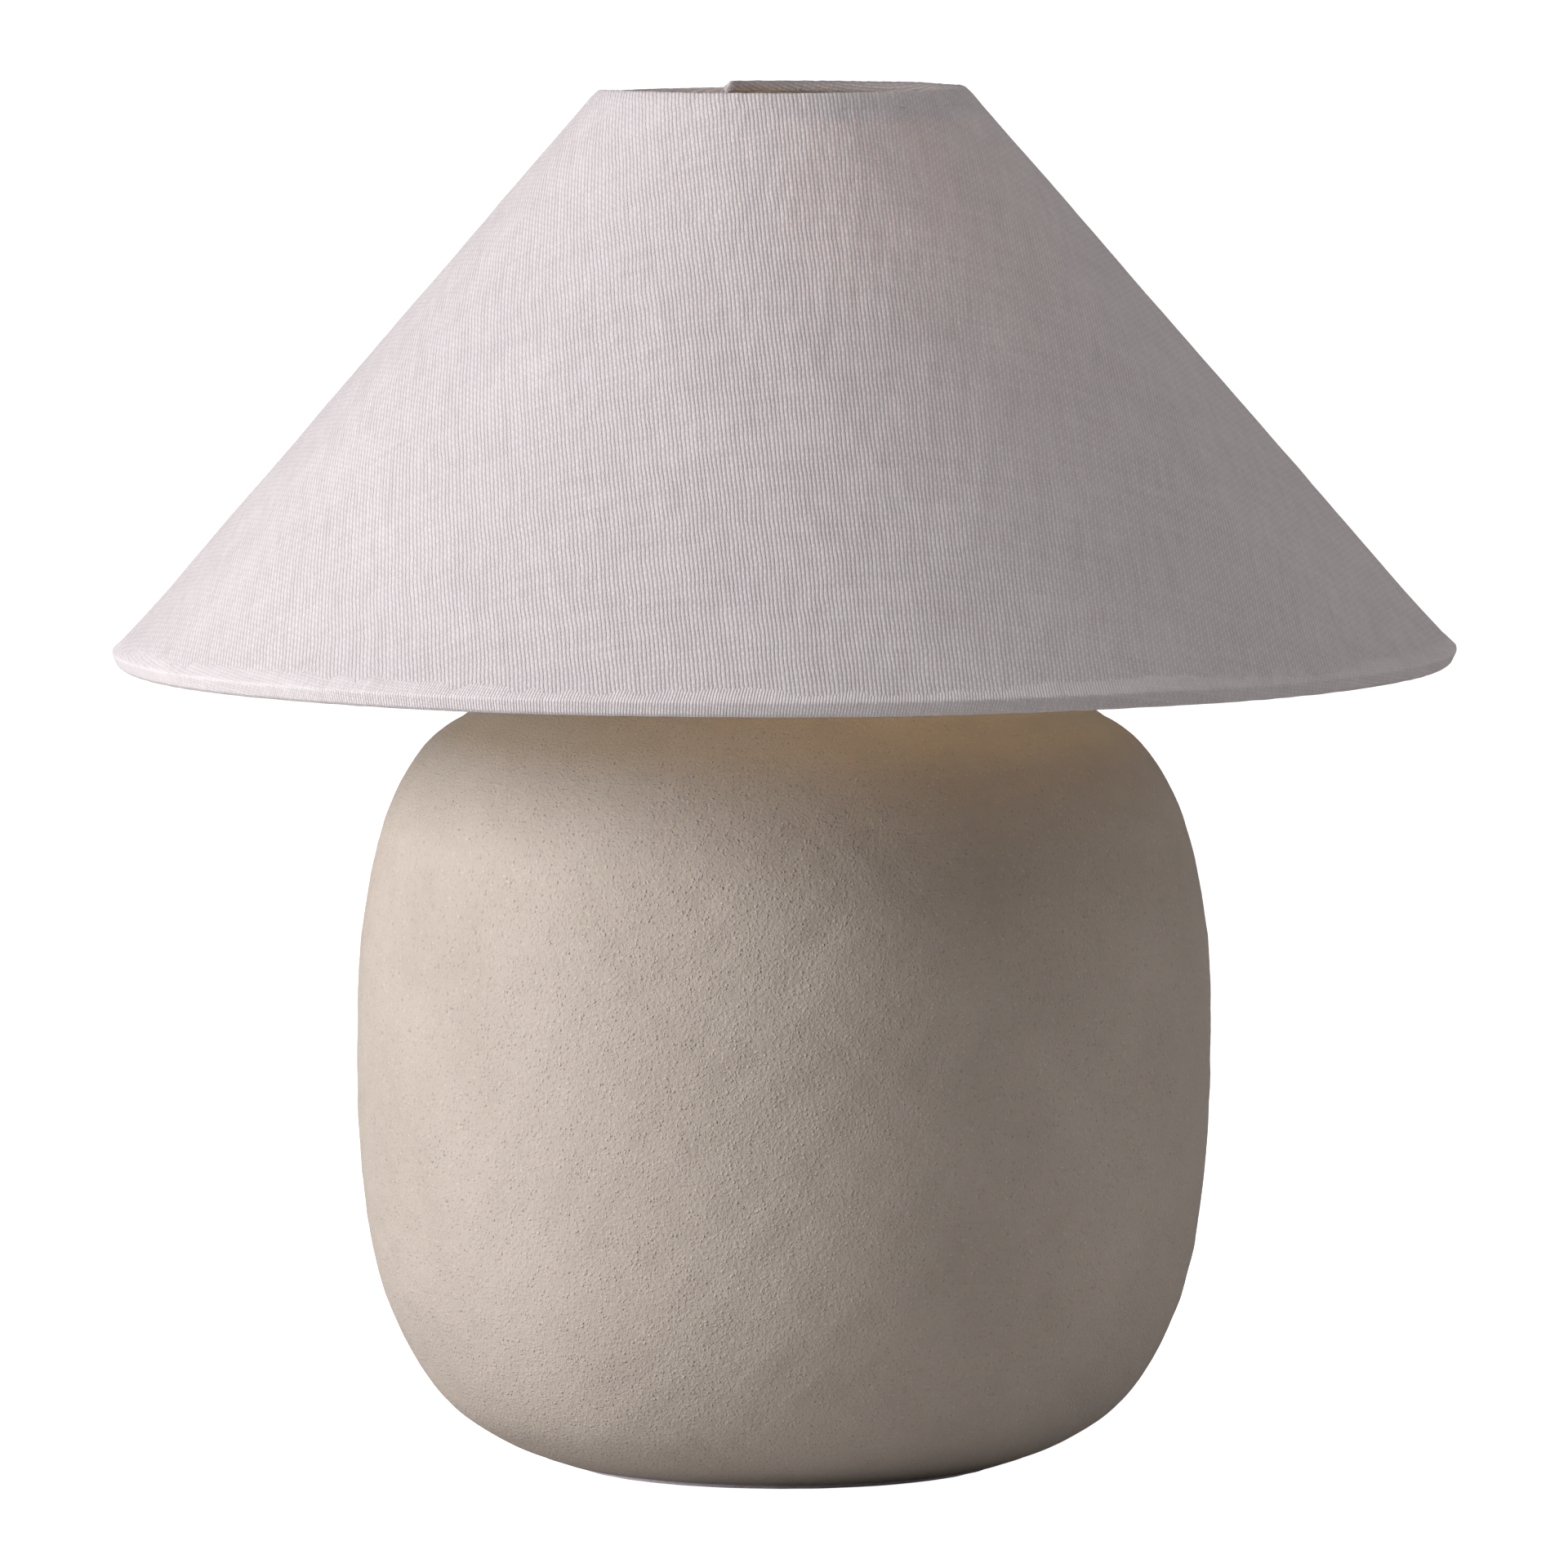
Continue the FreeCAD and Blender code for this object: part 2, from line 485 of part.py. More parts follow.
def rod(points, bends, r, start_dir):
    """A round rod along straight runs joined by tangent arcs."""
    edges, last = [], points[0]
    for i in range(1, len(points) - 1):
        a, p, b = points[i - 1], points[i], points[i + 1]
        u, v = (a - p).normalize(), (b - p).normalize()
        turn_angle = math.pi - u.getAngle(v)
        t = bends[i - 1] * math.tan(turn_angle / 2)
        p1, p2 = p + u * t, p + v * t
        mid_dir = (u + v).normalize()
        mid = p + mid_dir * (bends[i - 1] / math.cos(turn_angle / 2) - bends[i - 1])
        edges.append(Part.LineSegment(last, p1).toShape())
        edges.append(Part.Arc(p1, mid, p2).toShape())
        last = p2
    edges.append(Part.LineSegment(last, points[-1]).toShape())
    wire = Part.Wire(edges)
    section = Part.Wire([Part.Circle(points[0], start_dir, r).toShape()])
    solid = wire.makePipeShell([section], True, False)
    expected = math.pi * r * r * wire.Length
    if abs(solid.Volume - expected) > 0.01 * expected:
        raise SystemExit(f"rod volume {solid.Volume:.2f}, expected {expected:.2f}")
    return solid


arm = rod([arm_a, knee, arm_b], [NUMBERS["arm_bend"]], NUMBERS["arm_rad"], V3(1, 0, 0))
arms = []
for k in range(3):
    piece = arm.copy()
    piece.rotate(V3(0, 0, 0), V3(0, 0, 1), NUMBERS["arm_azimuth"] + 120 * k)
    arms.append(piece)
spider = doc.addObject("Part::Feature", "spider_arms")
spider.Shape = Part.makeCompound(arms)
spider.Label = "spider_arms"
OUT["spider_arms"] = spider

# ----------------------------------------------------------------------------------------------------------------
# Shade: fabric cover laminated to a stiff lining, rolled over a wire at each end. The outer face is the straight
# line through (shade_top_rad, shade_top_z) with the outward normal (normal_out, normal_up).
# ----------------------------------------------------------------------------------------------------------------
nr, nz = D.normal_out, D.normal_up
low_r = D.hem_ring + nr * D.hem_offset - nz * D.hem_clear
low_z = D.hem_z + nz * D.hem_offset + nr * D.hem_clear
top_r = D.rim_ring + nr * D.rim_offset + nz * D.rim_clear
top_z = D.rim_z + nz * D.rim_offset - nr * D.rim_clear


def layer(label, outer, thick):
    """One layer of the cone, from its outer face's depth below the shade's face, and its thickness."""
    b = new_body(label)
    o, i = Dim.of(outer), Dim.of(outer) + thick
    turn(b, [(low_r - nr * i, low_z - nz * i), (low_r - nr * o, low_z - nz * o),
             (top_r - nr * o, top_z - nz * o), (top_r - nr * i, top_z - nz * i)])
    return b


layer("shade_cover", 0.0, D.cover_thick)
layer("shade_lining", D.cover_thick + D.laminate_gap, D.lining_thick)
for label, ring, z, outer, inner, wire in (
    ("bottom_hem", D.hem_ring, D.hem_z, D.hem_rad, D.hem_bore, D.hem_wire),
    ("top_rim", D.rim_ring, D.rim_z, D.rim_rad, D.rim_bore, D.rim_wire),
):
    b = new_body(label)
    s = sketch_on(b, "XZ_Plane", "roll")
    ring_outline(s, ring, z, outer)
    ring_outline(s, ring, z, inner)
    f = b.newObject("PartDesign::Revolution", "rolled_fabric")
    f.Profile = s
    f.ReferenceAxis = (s, ["V_Axis"])
    f.Angle = 360.0
    w = doc.addObject("Part::Torus", label.split("_")[0] + "_wire_ring")
    w.Label = label.split("_")[0] + "_wire_ring"
    w.Radius1, w.Radius2 = Dim.of(ring).value, Dim.of(wire).value
    bind(w, "Radius1", ring)
    bind(w, "Radius2", wire)
    place(w, 0, 0, z)
    OUT[w.Label] = w

# ----------------------------------------------------------------------------------------------------------------
# Bulb: E27 candle bulb
# ----------------------------------------------------------------------------------------------------------------
bz = D.bulb_z
tip = new_body("bulb_centre_contact")
turn(tip, [(0, bz), (D.tip_rad - 1.4, bz + 0.25), (D.tip_rad, bz + 1.2), (D.tip_rad, bz + 2.0), (0, bz + 2.0)])
ins = new_body("bulb_insulator")
turn(ins, [(0, bz + 2.02), (D.tip_rad + 0.4, bz + 2.02), (D.insulator_rad, bz + 4.6), (D.insulator_rad, bz + 6.0),
           (0, bz + 6.0)])
screw_cap = new_body("bulb_screw_cap")
w = D.bulb_cap_wall
turn(screw_cap, [
    (D.insulator_rad + 0.05, bz + 4.6), (D.insulator_rad + 0.4, bz + 4.6), (D.bulb_cap_rad, bz + 6.4),
    (D.bulb_cap_rad, bz + 22.0), (D.bulb_cap_rad - 0.6, bz + 23.0), (D.bulb_cap_rad - 0.6, bz + 25.5),
    (D.bulb_cap_rad - 0.6 - w, bz + 25.5), (D.bulb_cap_rad - 0.6 - w, bz + 22.8), (D.bulb_cap_rad - w, bz + 21.8),
    (D.bulb_cap_rad - w, bz + 6.6), (D.insulator_rad + 0.05, bz + 5.0),
])
glass = new_body("bulb_glass")
g = D.glass_wall
turn(glass, [
    (D.bulb_neck_rad - g, 263.0), (D.bulb_neck_rad, 263.0), (D.bulb_neck_rad, 268.0, 75.0),
    (D.bulb_glass_rad, D.bulb_waist_z, 78.0), (6.5, D.bulb_top_z - 3.69, 7.567), (0.6, D.bulb_top_z), (0, D.bulb_top_z),
    (0, D.bulb_top_z - g), (0.6, D.bulb_top_z - g, -6.767), (5.813, D.bulb_top_z - 4.1, -77.2),
    (D.bulb_glass_rad - g, D.bulb_waist_z, -74.2), (D.bulb_neck_rad - g, 268.3),
])
stem = new_body("bulb_stem")
turn(stem, [(0, 263.5), (8.0, 263.5), (3.2, 273.0), (D.stem_rad, 284.0), (D.stem_rad, 304.0), (1.1, 309.0), (1.1, 319.0),
            (0, 319.6)])
sticks, supports = [], []
for k in range(4):
    a = math.radians(45 + 90 * k)
    ca, sa = math.cos(a), math.sin(a)
    sticks.append(cylinder(f"filament_{k}", D.filament_rad, D.filament_top_z - D.filament_low_z, D.filament_ring * ca,
                           D.filament_ring * sa, D.filament_low_z))
    turn_k = FreeCAD.Rotation(V3(0, 0, 1), math.degrees(a)).multiply(RYP)
    for end, start, z in (("low", 2.3, 284.6), ("top", 1.2, 316.4)):
        supports.append(cylinder(f"support_{end}_{k}", 0.3, D.filament_ring + 0.5 - start, start * ca, start * sa, z,
                                 turn_k))
group("led_filaments", sticks)
group("filament_supports", supports)

# ----------------------------------------------------------------------------------------------------------------
# Inner wiring: a two-pole terminal block on the bottom plate, and two single-core leads up to the lampholder
# ----------------------------------------------------------------------------------------------------------------
plate_top = D.pad_thick + D.plate_thick
block_blank = box("pole_block_blank", D.block_x, D.block_y, D.block_tall, -D.block_x / 2, D.block_mid_y - D.block_y / 2,
                  plate_top)
tools, heads = [], []
for side, sign in (("right", 1), ("left", -1)):
    x = D.pole_x * sign
    tools.append(cylinder(f"pole_bore_{side}", D.pole_hole, D.block_y + 4, x, D.block_mid_y - D.block_y / 2 - 2, D.pole_z, RX))
    for end, dy in (("front", -0.5), ("rear", 0.5)):
        y = D.block_mid_y + D.pole_pitch * dy
        tools.append(cylinder(f"pole_tap_{side}_{end}", D.pole_screw + 0.05, 12.0, x, y, D.pole_z))
        tools.append(cylinder(f"pole_counterbore_{side}_{end}", 2.3, 6.0, x, y, 12.5))
        screw = doc.addObject("Part::Fuse", f"pole_screw_solid_{side}_{end}")
        screw.Base = cylinder(f"pole_shank_{side}_{end}", D.pole_screw, 4.6, x, y, 9.2)
        screw.Tool = cylinder(f"pole_head_{side}_{end}", 2.1, 1.4, x, y, 12.55)
        heads.append(cut(f"pole_screw_{side}_{end}", screw, box(f"pole_slot_{side}_{end}", 5.0, 0.6, 1.0, x - 2.5, y - 0.3, 13.4),
                         node=False))
pole_tool = doc.addObject("Part::MultiFuse", "pole_tool")
pole_tool.Shapes = tools
cut("terminal_block", block_blank, pole_tool)
group("terminal_block_screws", heads)

doc.recompute()
for label, sign in (("lead_live", 1), ("lead_neutral", -1)):
    x, px, tx = NUMBERS["lead_x"] * sign, NUMBERS["pole_x"] * sign, NUMBERS["terminal_x"] * sign
    z = NUMBERS["pole_z"]
    solid = rod([V3(px, 22, z), V3(px, 3, z), V3(x, 0, 70), V3(x, 0, 222.6), V3(tx, 0, 226.3), V3(tx, 0, 232.0)],
                [12.0, 60.0, 2.6, 2.0], NUMBERS["lead_rad"], V3(0, 1, 0))
    f = doc.addObject("Part::Feature", label)
    f.Shape = solid
    f.Label = label
    OUT[label] = f

# ----------------------------------------------------------------------------------------------------------------
# Recompute, check everything, then write one file for each piece
# ----------------------------------------------------------------------------------------------------------------
doc.recompute()
bad = [o.Label for o in doc.Objects if "Invalid" in o.State or "Error" in o.State]
if bad:
    raise SystemExit("objects failed: " + ", ".join(bad))
for label, obj in OUT.items():
    shape = obj.Shape
    if shape.isNull() or not shape.isValid() or shape.Volume <= 0 or not shape.Solids:
        raise SystemExit(f"{label} has no valid solid")
    if obj.Label != label:
        raise SystemExit(f"{label} is labelled {obj.Label}")
for label, obj in OUT.items():
    obj.Shape.exportStep(f"parts/{label}.step")
    print(f"{label:24s} solids {len(obj.Shape.Solids):2d}  volume {obj.Shape.Volume:12.2f}")
print(len(OUT), "pieces")
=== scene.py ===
import json
import math

import bpy
import numpy as np
from mathutils import Vector
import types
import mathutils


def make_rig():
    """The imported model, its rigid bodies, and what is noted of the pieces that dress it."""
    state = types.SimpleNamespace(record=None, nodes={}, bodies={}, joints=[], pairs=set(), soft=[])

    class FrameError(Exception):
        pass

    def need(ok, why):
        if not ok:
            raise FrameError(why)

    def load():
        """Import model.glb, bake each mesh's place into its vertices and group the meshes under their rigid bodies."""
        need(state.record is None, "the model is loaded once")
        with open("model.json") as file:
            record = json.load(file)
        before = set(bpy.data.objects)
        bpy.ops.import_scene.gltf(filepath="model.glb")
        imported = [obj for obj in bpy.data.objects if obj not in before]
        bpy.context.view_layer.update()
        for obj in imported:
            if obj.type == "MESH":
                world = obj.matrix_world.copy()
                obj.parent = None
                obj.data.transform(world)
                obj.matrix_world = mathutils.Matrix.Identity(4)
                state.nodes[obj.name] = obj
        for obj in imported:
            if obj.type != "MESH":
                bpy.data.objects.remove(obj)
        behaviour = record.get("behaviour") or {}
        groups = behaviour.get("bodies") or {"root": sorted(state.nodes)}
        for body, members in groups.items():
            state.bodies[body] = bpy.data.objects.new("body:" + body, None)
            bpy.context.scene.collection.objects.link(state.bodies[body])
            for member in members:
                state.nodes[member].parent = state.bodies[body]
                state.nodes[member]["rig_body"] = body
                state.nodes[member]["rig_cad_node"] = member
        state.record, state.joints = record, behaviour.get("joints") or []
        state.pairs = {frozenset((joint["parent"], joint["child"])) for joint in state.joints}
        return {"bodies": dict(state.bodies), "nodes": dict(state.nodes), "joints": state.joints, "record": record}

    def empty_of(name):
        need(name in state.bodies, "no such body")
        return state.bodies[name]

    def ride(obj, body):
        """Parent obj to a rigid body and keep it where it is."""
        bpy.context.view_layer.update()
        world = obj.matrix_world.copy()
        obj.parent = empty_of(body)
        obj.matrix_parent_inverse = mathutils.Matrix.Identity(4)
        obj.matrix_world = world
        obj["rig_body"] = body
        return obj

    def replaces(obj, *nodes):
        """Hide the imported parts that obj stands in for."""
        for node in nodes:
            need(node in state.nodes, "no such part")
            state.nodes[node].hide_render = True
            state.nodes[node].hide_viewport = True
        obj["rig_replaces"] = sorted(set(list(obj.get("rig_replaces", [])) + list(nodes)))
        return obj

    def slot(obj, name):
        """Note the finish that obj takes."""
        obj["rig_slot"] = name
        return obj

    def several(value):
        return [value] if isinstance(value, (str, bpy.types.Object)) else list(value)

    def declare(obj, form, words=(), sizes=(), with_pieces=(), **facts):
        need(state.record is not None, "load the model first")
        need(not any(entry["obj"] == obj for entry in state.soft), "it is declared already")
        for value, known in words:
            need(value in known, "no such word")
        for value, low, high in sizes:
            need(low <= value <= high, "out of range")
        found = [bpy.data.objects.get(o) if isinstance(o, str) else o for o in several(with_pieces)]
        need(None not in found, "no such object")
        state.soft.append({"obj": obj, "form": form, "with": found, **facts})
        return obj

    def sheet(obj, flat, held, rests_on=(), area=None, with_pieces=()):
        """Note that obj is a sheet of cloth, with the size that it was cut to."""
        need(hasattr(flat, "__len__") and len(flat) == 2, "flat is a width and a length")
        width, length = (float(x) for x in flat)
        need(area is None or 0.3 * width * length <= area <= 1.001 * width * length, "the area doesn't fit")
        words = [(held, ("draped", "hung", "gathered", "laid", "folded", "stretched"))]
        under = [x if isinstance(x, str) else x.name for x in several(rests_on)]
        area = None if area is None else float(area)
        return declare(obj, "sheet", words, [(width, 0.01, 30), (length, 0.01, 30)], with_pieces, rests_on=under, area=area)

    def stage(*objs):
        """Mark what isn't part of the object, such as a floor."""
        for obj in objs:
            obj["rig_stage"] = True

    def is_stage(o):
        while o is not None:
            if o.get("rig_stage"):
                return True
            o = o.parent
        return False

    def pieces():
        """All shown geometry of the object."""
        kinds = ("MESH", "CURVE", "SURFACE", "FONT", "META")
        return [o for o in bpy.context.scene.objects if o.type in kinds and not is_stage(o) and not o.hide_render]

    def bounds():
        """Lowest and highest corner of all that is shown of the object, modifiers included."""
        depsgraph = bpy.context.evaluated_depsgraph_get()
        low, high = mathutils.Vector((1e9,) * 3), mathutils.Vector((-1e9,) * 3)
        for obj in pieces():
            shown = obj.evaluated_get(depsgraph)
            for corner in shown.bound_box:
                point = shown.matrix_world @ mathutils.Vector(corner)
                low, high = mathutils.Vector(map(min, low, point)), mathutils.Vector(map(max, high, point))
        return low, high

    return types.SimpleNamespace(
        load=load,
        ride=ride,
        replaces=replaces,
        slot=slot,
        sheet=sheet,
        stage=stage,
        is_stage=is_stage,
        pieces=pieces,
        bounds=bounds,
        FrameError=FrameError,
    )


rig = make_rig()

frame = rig.load()
cad_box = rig.bounds()

MM = 0.001
TAU = 2 * math.pi
scene = bpy.context.scene
scene.view_settings.view_transform = "Standard"
scene.view_settings.look = "None"

# ------------------------------------------------------------------------------------------------------------------
# Camera: level with the table's edge, 3.3 m away, long lens
# ------------------------------------------------------------------------------------------------------------------
cam_data = bpy.data.cameras.new("camera")
cam_data.sensor_width = 36.0
cam_data.lens = 300.5
cam_data.clip_end = 100.0
camera = bpy.data.objects.new("camera", cam_data)
scene.collection.objects.link(camera)
camera.location = (0.0, -3.2753, 0.46126)
camera.rotation_euler = (math.pi / 2 - 0.0884, 0.0, 0.0)
scene.camera = camera


# ------------------------------------------------------------------------------------------------------------------
# Node graphs
# ------------------------------------------------------------------------------------------------------------------
class Graph:
    """Short names for building a material's nodes."""

    def __init__(self, name):
        self.mat = bpy.data.materials.new(name)
        self.mat.use_nodes = True
        self.nt = self.mat.node_tree
        self.nt.nodes.clear()
        self.out = self.nt.nodes.new("ShaderNodeOutputMaterial")

    def node(self, kind, **values):
        n = self.nt.nodes.new(kind)
        for k, v in values.items():
            if hasattr(n, k) and k not in ("Scale",):
                setattr(n, k, v)
            else:
                n.inputs[k].default_value = v
        return n

    def put(self, socket, value):
        if isinstance(value, bpy.types.NodeSocket):
            self.nt.links.new(value, socket)
        else:
            socket.default_value = value

    def math(self, op, *args, clamp=False):
        n = self.nt.nodes.new("ShaderNodeMath")
        n.operation = op
        n.use_clamp = clamp
        for i, a in enumerate(args):
            self.put(n.inputs[i], a)
        return n.outputs[0]

    def vmath(self, op, *args):
        n = self.nt.nodes.new("ShaderNodeVectorMath")
        n.operation = op
        for i, a in enumerate(args):
            self.put(n.inputs[i], a)
        return n.outputs[0]

    def coords(self, scale=1000.0):
        """Object coordinates in millimetres."""
        tc = self.nt.nodes.new("ShaderNodeTexCoord")
        return self.vmath("MULTIPLY", tc.outputs["Object"], (scale, scale, scale))

    def uv(self, name):
        n = self.nt.nodes.new("ShaderNodeUVMap")
        n.uv_map = name
        return n.outputs[0]

    def xyz(self, vec):
        n = self.nt.nodes.new("ShaderNodeSeparateXYZ")
        self.put(n.inputs[0], vec)
        return n.outputs[0], n.outputs[1], n.outputs[2]

    def join(self, x, y, z=0.0):
        n = self.nt.nodes.new("ShaderNodeCombineXYZ")
        for i, a in enumerate((x, y, z)):
            self.put(n.inputs[i], a)
        return n.outputs[0]

    def noise(self, vec, scale=1.0, detail=2.0, rough=0.5, color=False, distortion=0.0):
        n = self.nt.nodes.new("ShaderNodeTexNoise")
        self.put(n.inputs["Vector"], vec)
        n.inputs["Scale"].default_value = scale
        n.inputs["Detail"].default_value = detail
        n.inputs["Roughness"].default_value = rough
        n.inputs["Distortion"].default_value = distortion
        return n.outputs["Color" if color else "Fac"]

    def voronoi(self, vec, scale=1.0, feature="F1", out="Distance", randomness=1.0):
        n = self.nt.nodes.new("ShaderNodeTexVoronoi")
        n.feature = feature
        self.put(n.inputs["Vector"], vec)
        n.inputs["Scale"].default_value = scale
        n.inputs["Randomness"].default_value = randomness
        return n.outputs[out]

    def ramp(self, fac, stops, interpolation="LINEAR"):
        n = self.nt.nodes.new("ShaderNodeValToRGB")
        n.color_ramp.interpolation = interpolation
        self.put(n.inputs[0], fac)
        el = n.color_ramp.elements
        while len(el) < len(stops):
            el.new(0.5)
        for e, (pos, col) in zip(el, stops):
            e.position = pos
            e.color = (*col, 1.0) if isinstance(col, tuple) else (col, col, col, 1.0)
        return n.outputs[0]

    def remap(self, v, a, b, c=0.0, d=1.0, smooth=False):
        n = self.nt.nodes.new("ShaderNodeMapRange")
        if smooth:
            n.interpolation_type = "SMOOTHSTEP"
        self.put(n.inputs[0], v)
        for i, x in enumerate((a, b, c, d)):
            n.inputs[i + 1].default_value = x
        return n.outputs[0]

    def mix(self, fac, a, b, blend="MIX"):
        n = self.nt.nodes.new("ShaderNodeMix")
        n.data_type = "RGBA"
        n.blend_type = blend
        n.clamp_factor = True
        self.put(n.inputs[0], fac)
        for i, c in ((6, a), (7, b)):
            if isinstance(c, tuple) and len(c) == 3:
                c = (*c, 1.0)
            self.put(n.inputs[i], c)
        return n.outputs[2]

    def bump(self, height, distance, strength=1.0, normal=None):
        n = self.nt.nodes.new("ShaderNodeBump")
        n.inputs["Strength"].default_value = strength
        n.inputs["Distance"].default_value = distance
        self.put(n.inputs["Height"], height)
        if normal is not None:
            self.put(n.inputs["Normal"], normal)
        return n.outputs[0]

    def principled(self, **values):
        n = self.nt.nodes.new("ShaderNodeBsdfPrincipled")
        for k, v in values.items():
            if isinstance(v, tuple) and len(v) == 3 and k != "Normal":
                v = (*v, 1.0)
            self.put(n.inputs[k.replace("_", " ")], v)
        return n.outputs[0]

    def done(self, shader):
        self.nt.links.new(shader, self.out.inputs["Surface"])
        return self.mat


# ------------------------------------------------------------------------------------------------------------------
# Materials
# ------------------------------------------------------------------------------------------------------------------
WARP, WEFT = 1.02, 1.14  # thread pitches in mm


def weave(g, uv, warp=WARP, weft=WEFT, wobble=0.9, relief=1.0):
    """Plain weave from a UV map in millimetres of flat cloth: (height 0..1, thread tone)."""
    drift = g.noise(uv, scale=1 / 17.0, detail=2.0, color=True)
    fine = g.noise(uv, scale=1 / 3.1, detail=1.0, color=True)
    dx, dy, _ = g.xyz(g.vmath("SUBTRACT", drift, (0.5, 0.5, 0.5)))
    ex, ey, _ = g.xyz(g.vmath("SUBTRACT", fine, (0.5, 0.5, 0.5)))
    x, y, _ = g.xyz(uv)
    u = g.math("ADD", g.math("DIVIDE", x, warp), g.math("ADD", g.math("MULTIPLY", dx, 1.25 * wobble), g.math("MULTIPLY", ex, 0.34 * wobble)))
    v = g.math("ADD", g.math("DIVIDE", y, weft), g.math("ADD", g.math("MULTIPLY", dy, 1.25 * wobble), g.math("MULTIPLY", ey, 0.34 * wobble)))
    iu, iv = g.math("FLOOR", u), g.math("FLOOR", v)
    fu = g.math("SUBTRACT", g.math("FRACT", u), 0.5)
    fv = g.math("SUBTRACT", g.math("FRACT", v), 0.5)
    parity = g.math("ABSOLUTE", g.math("MODULO", g.math("ADD", iu, iv), 2.0))
    sign = g.math("SUBTRACT", 1.0, g.math("MULTIPLY", parity, 2.0))
    # threads vary in thickness along their length, with slubs
    slub_u = g.noise(g.join(g.math("MULTIPLY", iu, 7.31), g.math("MULTIPLY", y, 0.055)), scale=1.0, detail=2.0, rough=0.6)
    slub_v = g.noise(g.join(g.math("MULTIPLY", x, 0.055), g.math("MULTIPLY", iv, 5.17)), scale=1.0, detail=2.0, rough=0.6)
    half_u = g.remap(slub_u, 0.25, 0.75, 0.36, 0.56)
    half_v = g.remap(slub_v, 0.25, 0.75, 0.36, 0.56)

    def dome(f, half):
        q = g.math("DIVIDE", f, half)
        return g.math("SQRT", g.math("MAXIMUM", g.math("SUBTRACT", 1.0, g.math("MULTIPLY", q, q)), 0.0))

    zw = g.math("MULTIPLY", sign, g.math("COSINE", g.math("MULTIPLY", fv, math.pi)))
    zf = g.math("MULTIPLY", g.math("MULTIPLY", sign, -1.0), g.math("COSINE", g.math("MULTIPLY", fu, math.pi)))
    du, dv = dome(fu, half_u), dome(fv, half_v)
    hw = g.math("MULTIPLY", du, g.math("ADD", 0.75, g.math("MULTIPLY", zw, 0.25)))
    hf = g.math("MULTIPLY", dv, g.math("ADD", 0.44, g.math("MULTIPLY", zf, 0.31)))
    height = g.math("MAXIMUM", hw, hf)
    shade = g.math("ADD", g.math("MULTIPLY", slub_u, 0.5), g.math("MULTIPLY", slub_v, 0.5))
    return height, shade


def fabric(name, map_name="threads", tint=(0.775, 0.722, 0.742), gap=(0.700, 0.645, 0.660), relief=0.30, through=0.30,
           warp=WARP, weft=WEFT, flecks=True, tape=False):
    g = Graph(name)
    uv = g.uv(map_name)
    height, shade = weave(g, uv, warp, weft)
    hair = g.noise(uv, scale=3.2, detail=3.0, rough=0.7)
    cloud = g.noise(uv, scale=1 / 38.0, detail=3.0, rough=0.55)
    # painted shade and painted highlight: the colour darkens to the gap colour in the hollows between threads and
    # lightens towards white on the thread crowns, following the weave's height
    colour = g.mix(g.remap(height, 0.12, 0.80, 0.0, 1.0), gap, tint)
    colour = g.mix(g.remap(height, 0.78, 0.98, 0.0, 0.55), colour, (0.97, 0.945, 0.95))
    colour = g.mix(g.remap(shade, 0.38, 0.62, 0.0, 0.34), colour, (0.93, 0.90, 0.91))
    colour = g.mix(g.remap(cloud, 0.42, 0.66, 0.0, 0.16), colour, (0.70, 0.655, 0.69))
    colour = g.mix(g.remap(hair, 0.58, 0.80, 0.0, 0.20), colour, (0.95, 0.93, 0.93))
    if tape:
        # painted shade: inside the wire the turned-in edge is painted dark grey, standing in for the shade inside the
        # top rim
        x, y, _ = g.xyz(g.coords())
        radius = g.math("SQRT", g.math("ADD", g.math("MULTIPLY", x, x), g.math("MULTIPLY", y, y)))
        colour = g.mix(g.remap(radius, 44.3, 44.9, 1.0, 0.0), colour, g.mix(g.remap(height, 0.2, 0.9, 0.0, 1.0), (0.30, 0.285, 0.295), (0.42, 0.40, 0.41)))
    if flecks:
        # a few dark seed specks caught in the cotton
        d = g.voronoi(g.vmath("ADD", uv, g.vmath("MULTIPLY", g.noise(uv, scale=1.3, color=True), (1.0, 0.8, 0.0))), scale=1 / 58.0)
        pick = g.voronoi(uv, scale=1 / 58.0, out="Color")
        r, gg, _ = g.xyz(pick)
        size = g.remap(r, 0.35, 1.0, 0.0, 0.0105)
        spot = g.math("LESS_THAN", d, size)
        colour = g.mix(g.math("MULTIPLY", spot, g.remap(gg, 0.0, 1.0, 0.35, 0.9)), colour, (0.09, 0.075, 0.075))
    bumped = g.bump(g.math("ADD", g.math("MULTIPLY", height, 1.0), g.math("MULTIPLY", hair, 0.42)), relief * MM, 1.0)
    cloth = g.principled(Base_Color=colour, Roughness=0.92, Specular_IOR_Level=0.25, Sheen_Weight=0.12, Sheen_Roughness=0.45, Normal=bumped)
    back = g.nt.nodes.new("ShaderNodeBsdfTranslucent")
    g.put(back.inputs["Color"], colour)
    g.put(back.inputs["Normal"], bumped)
    m = g.nt.nodes.new("ShaderNodeMixShader")
    m.inputs[0].default_value = through
    g.nt.links.new(cloth, m.inputs[1])
    g.nt.links.new(back.outputs[0], m.inputs[2])
    return g.done(m.outputs[0])


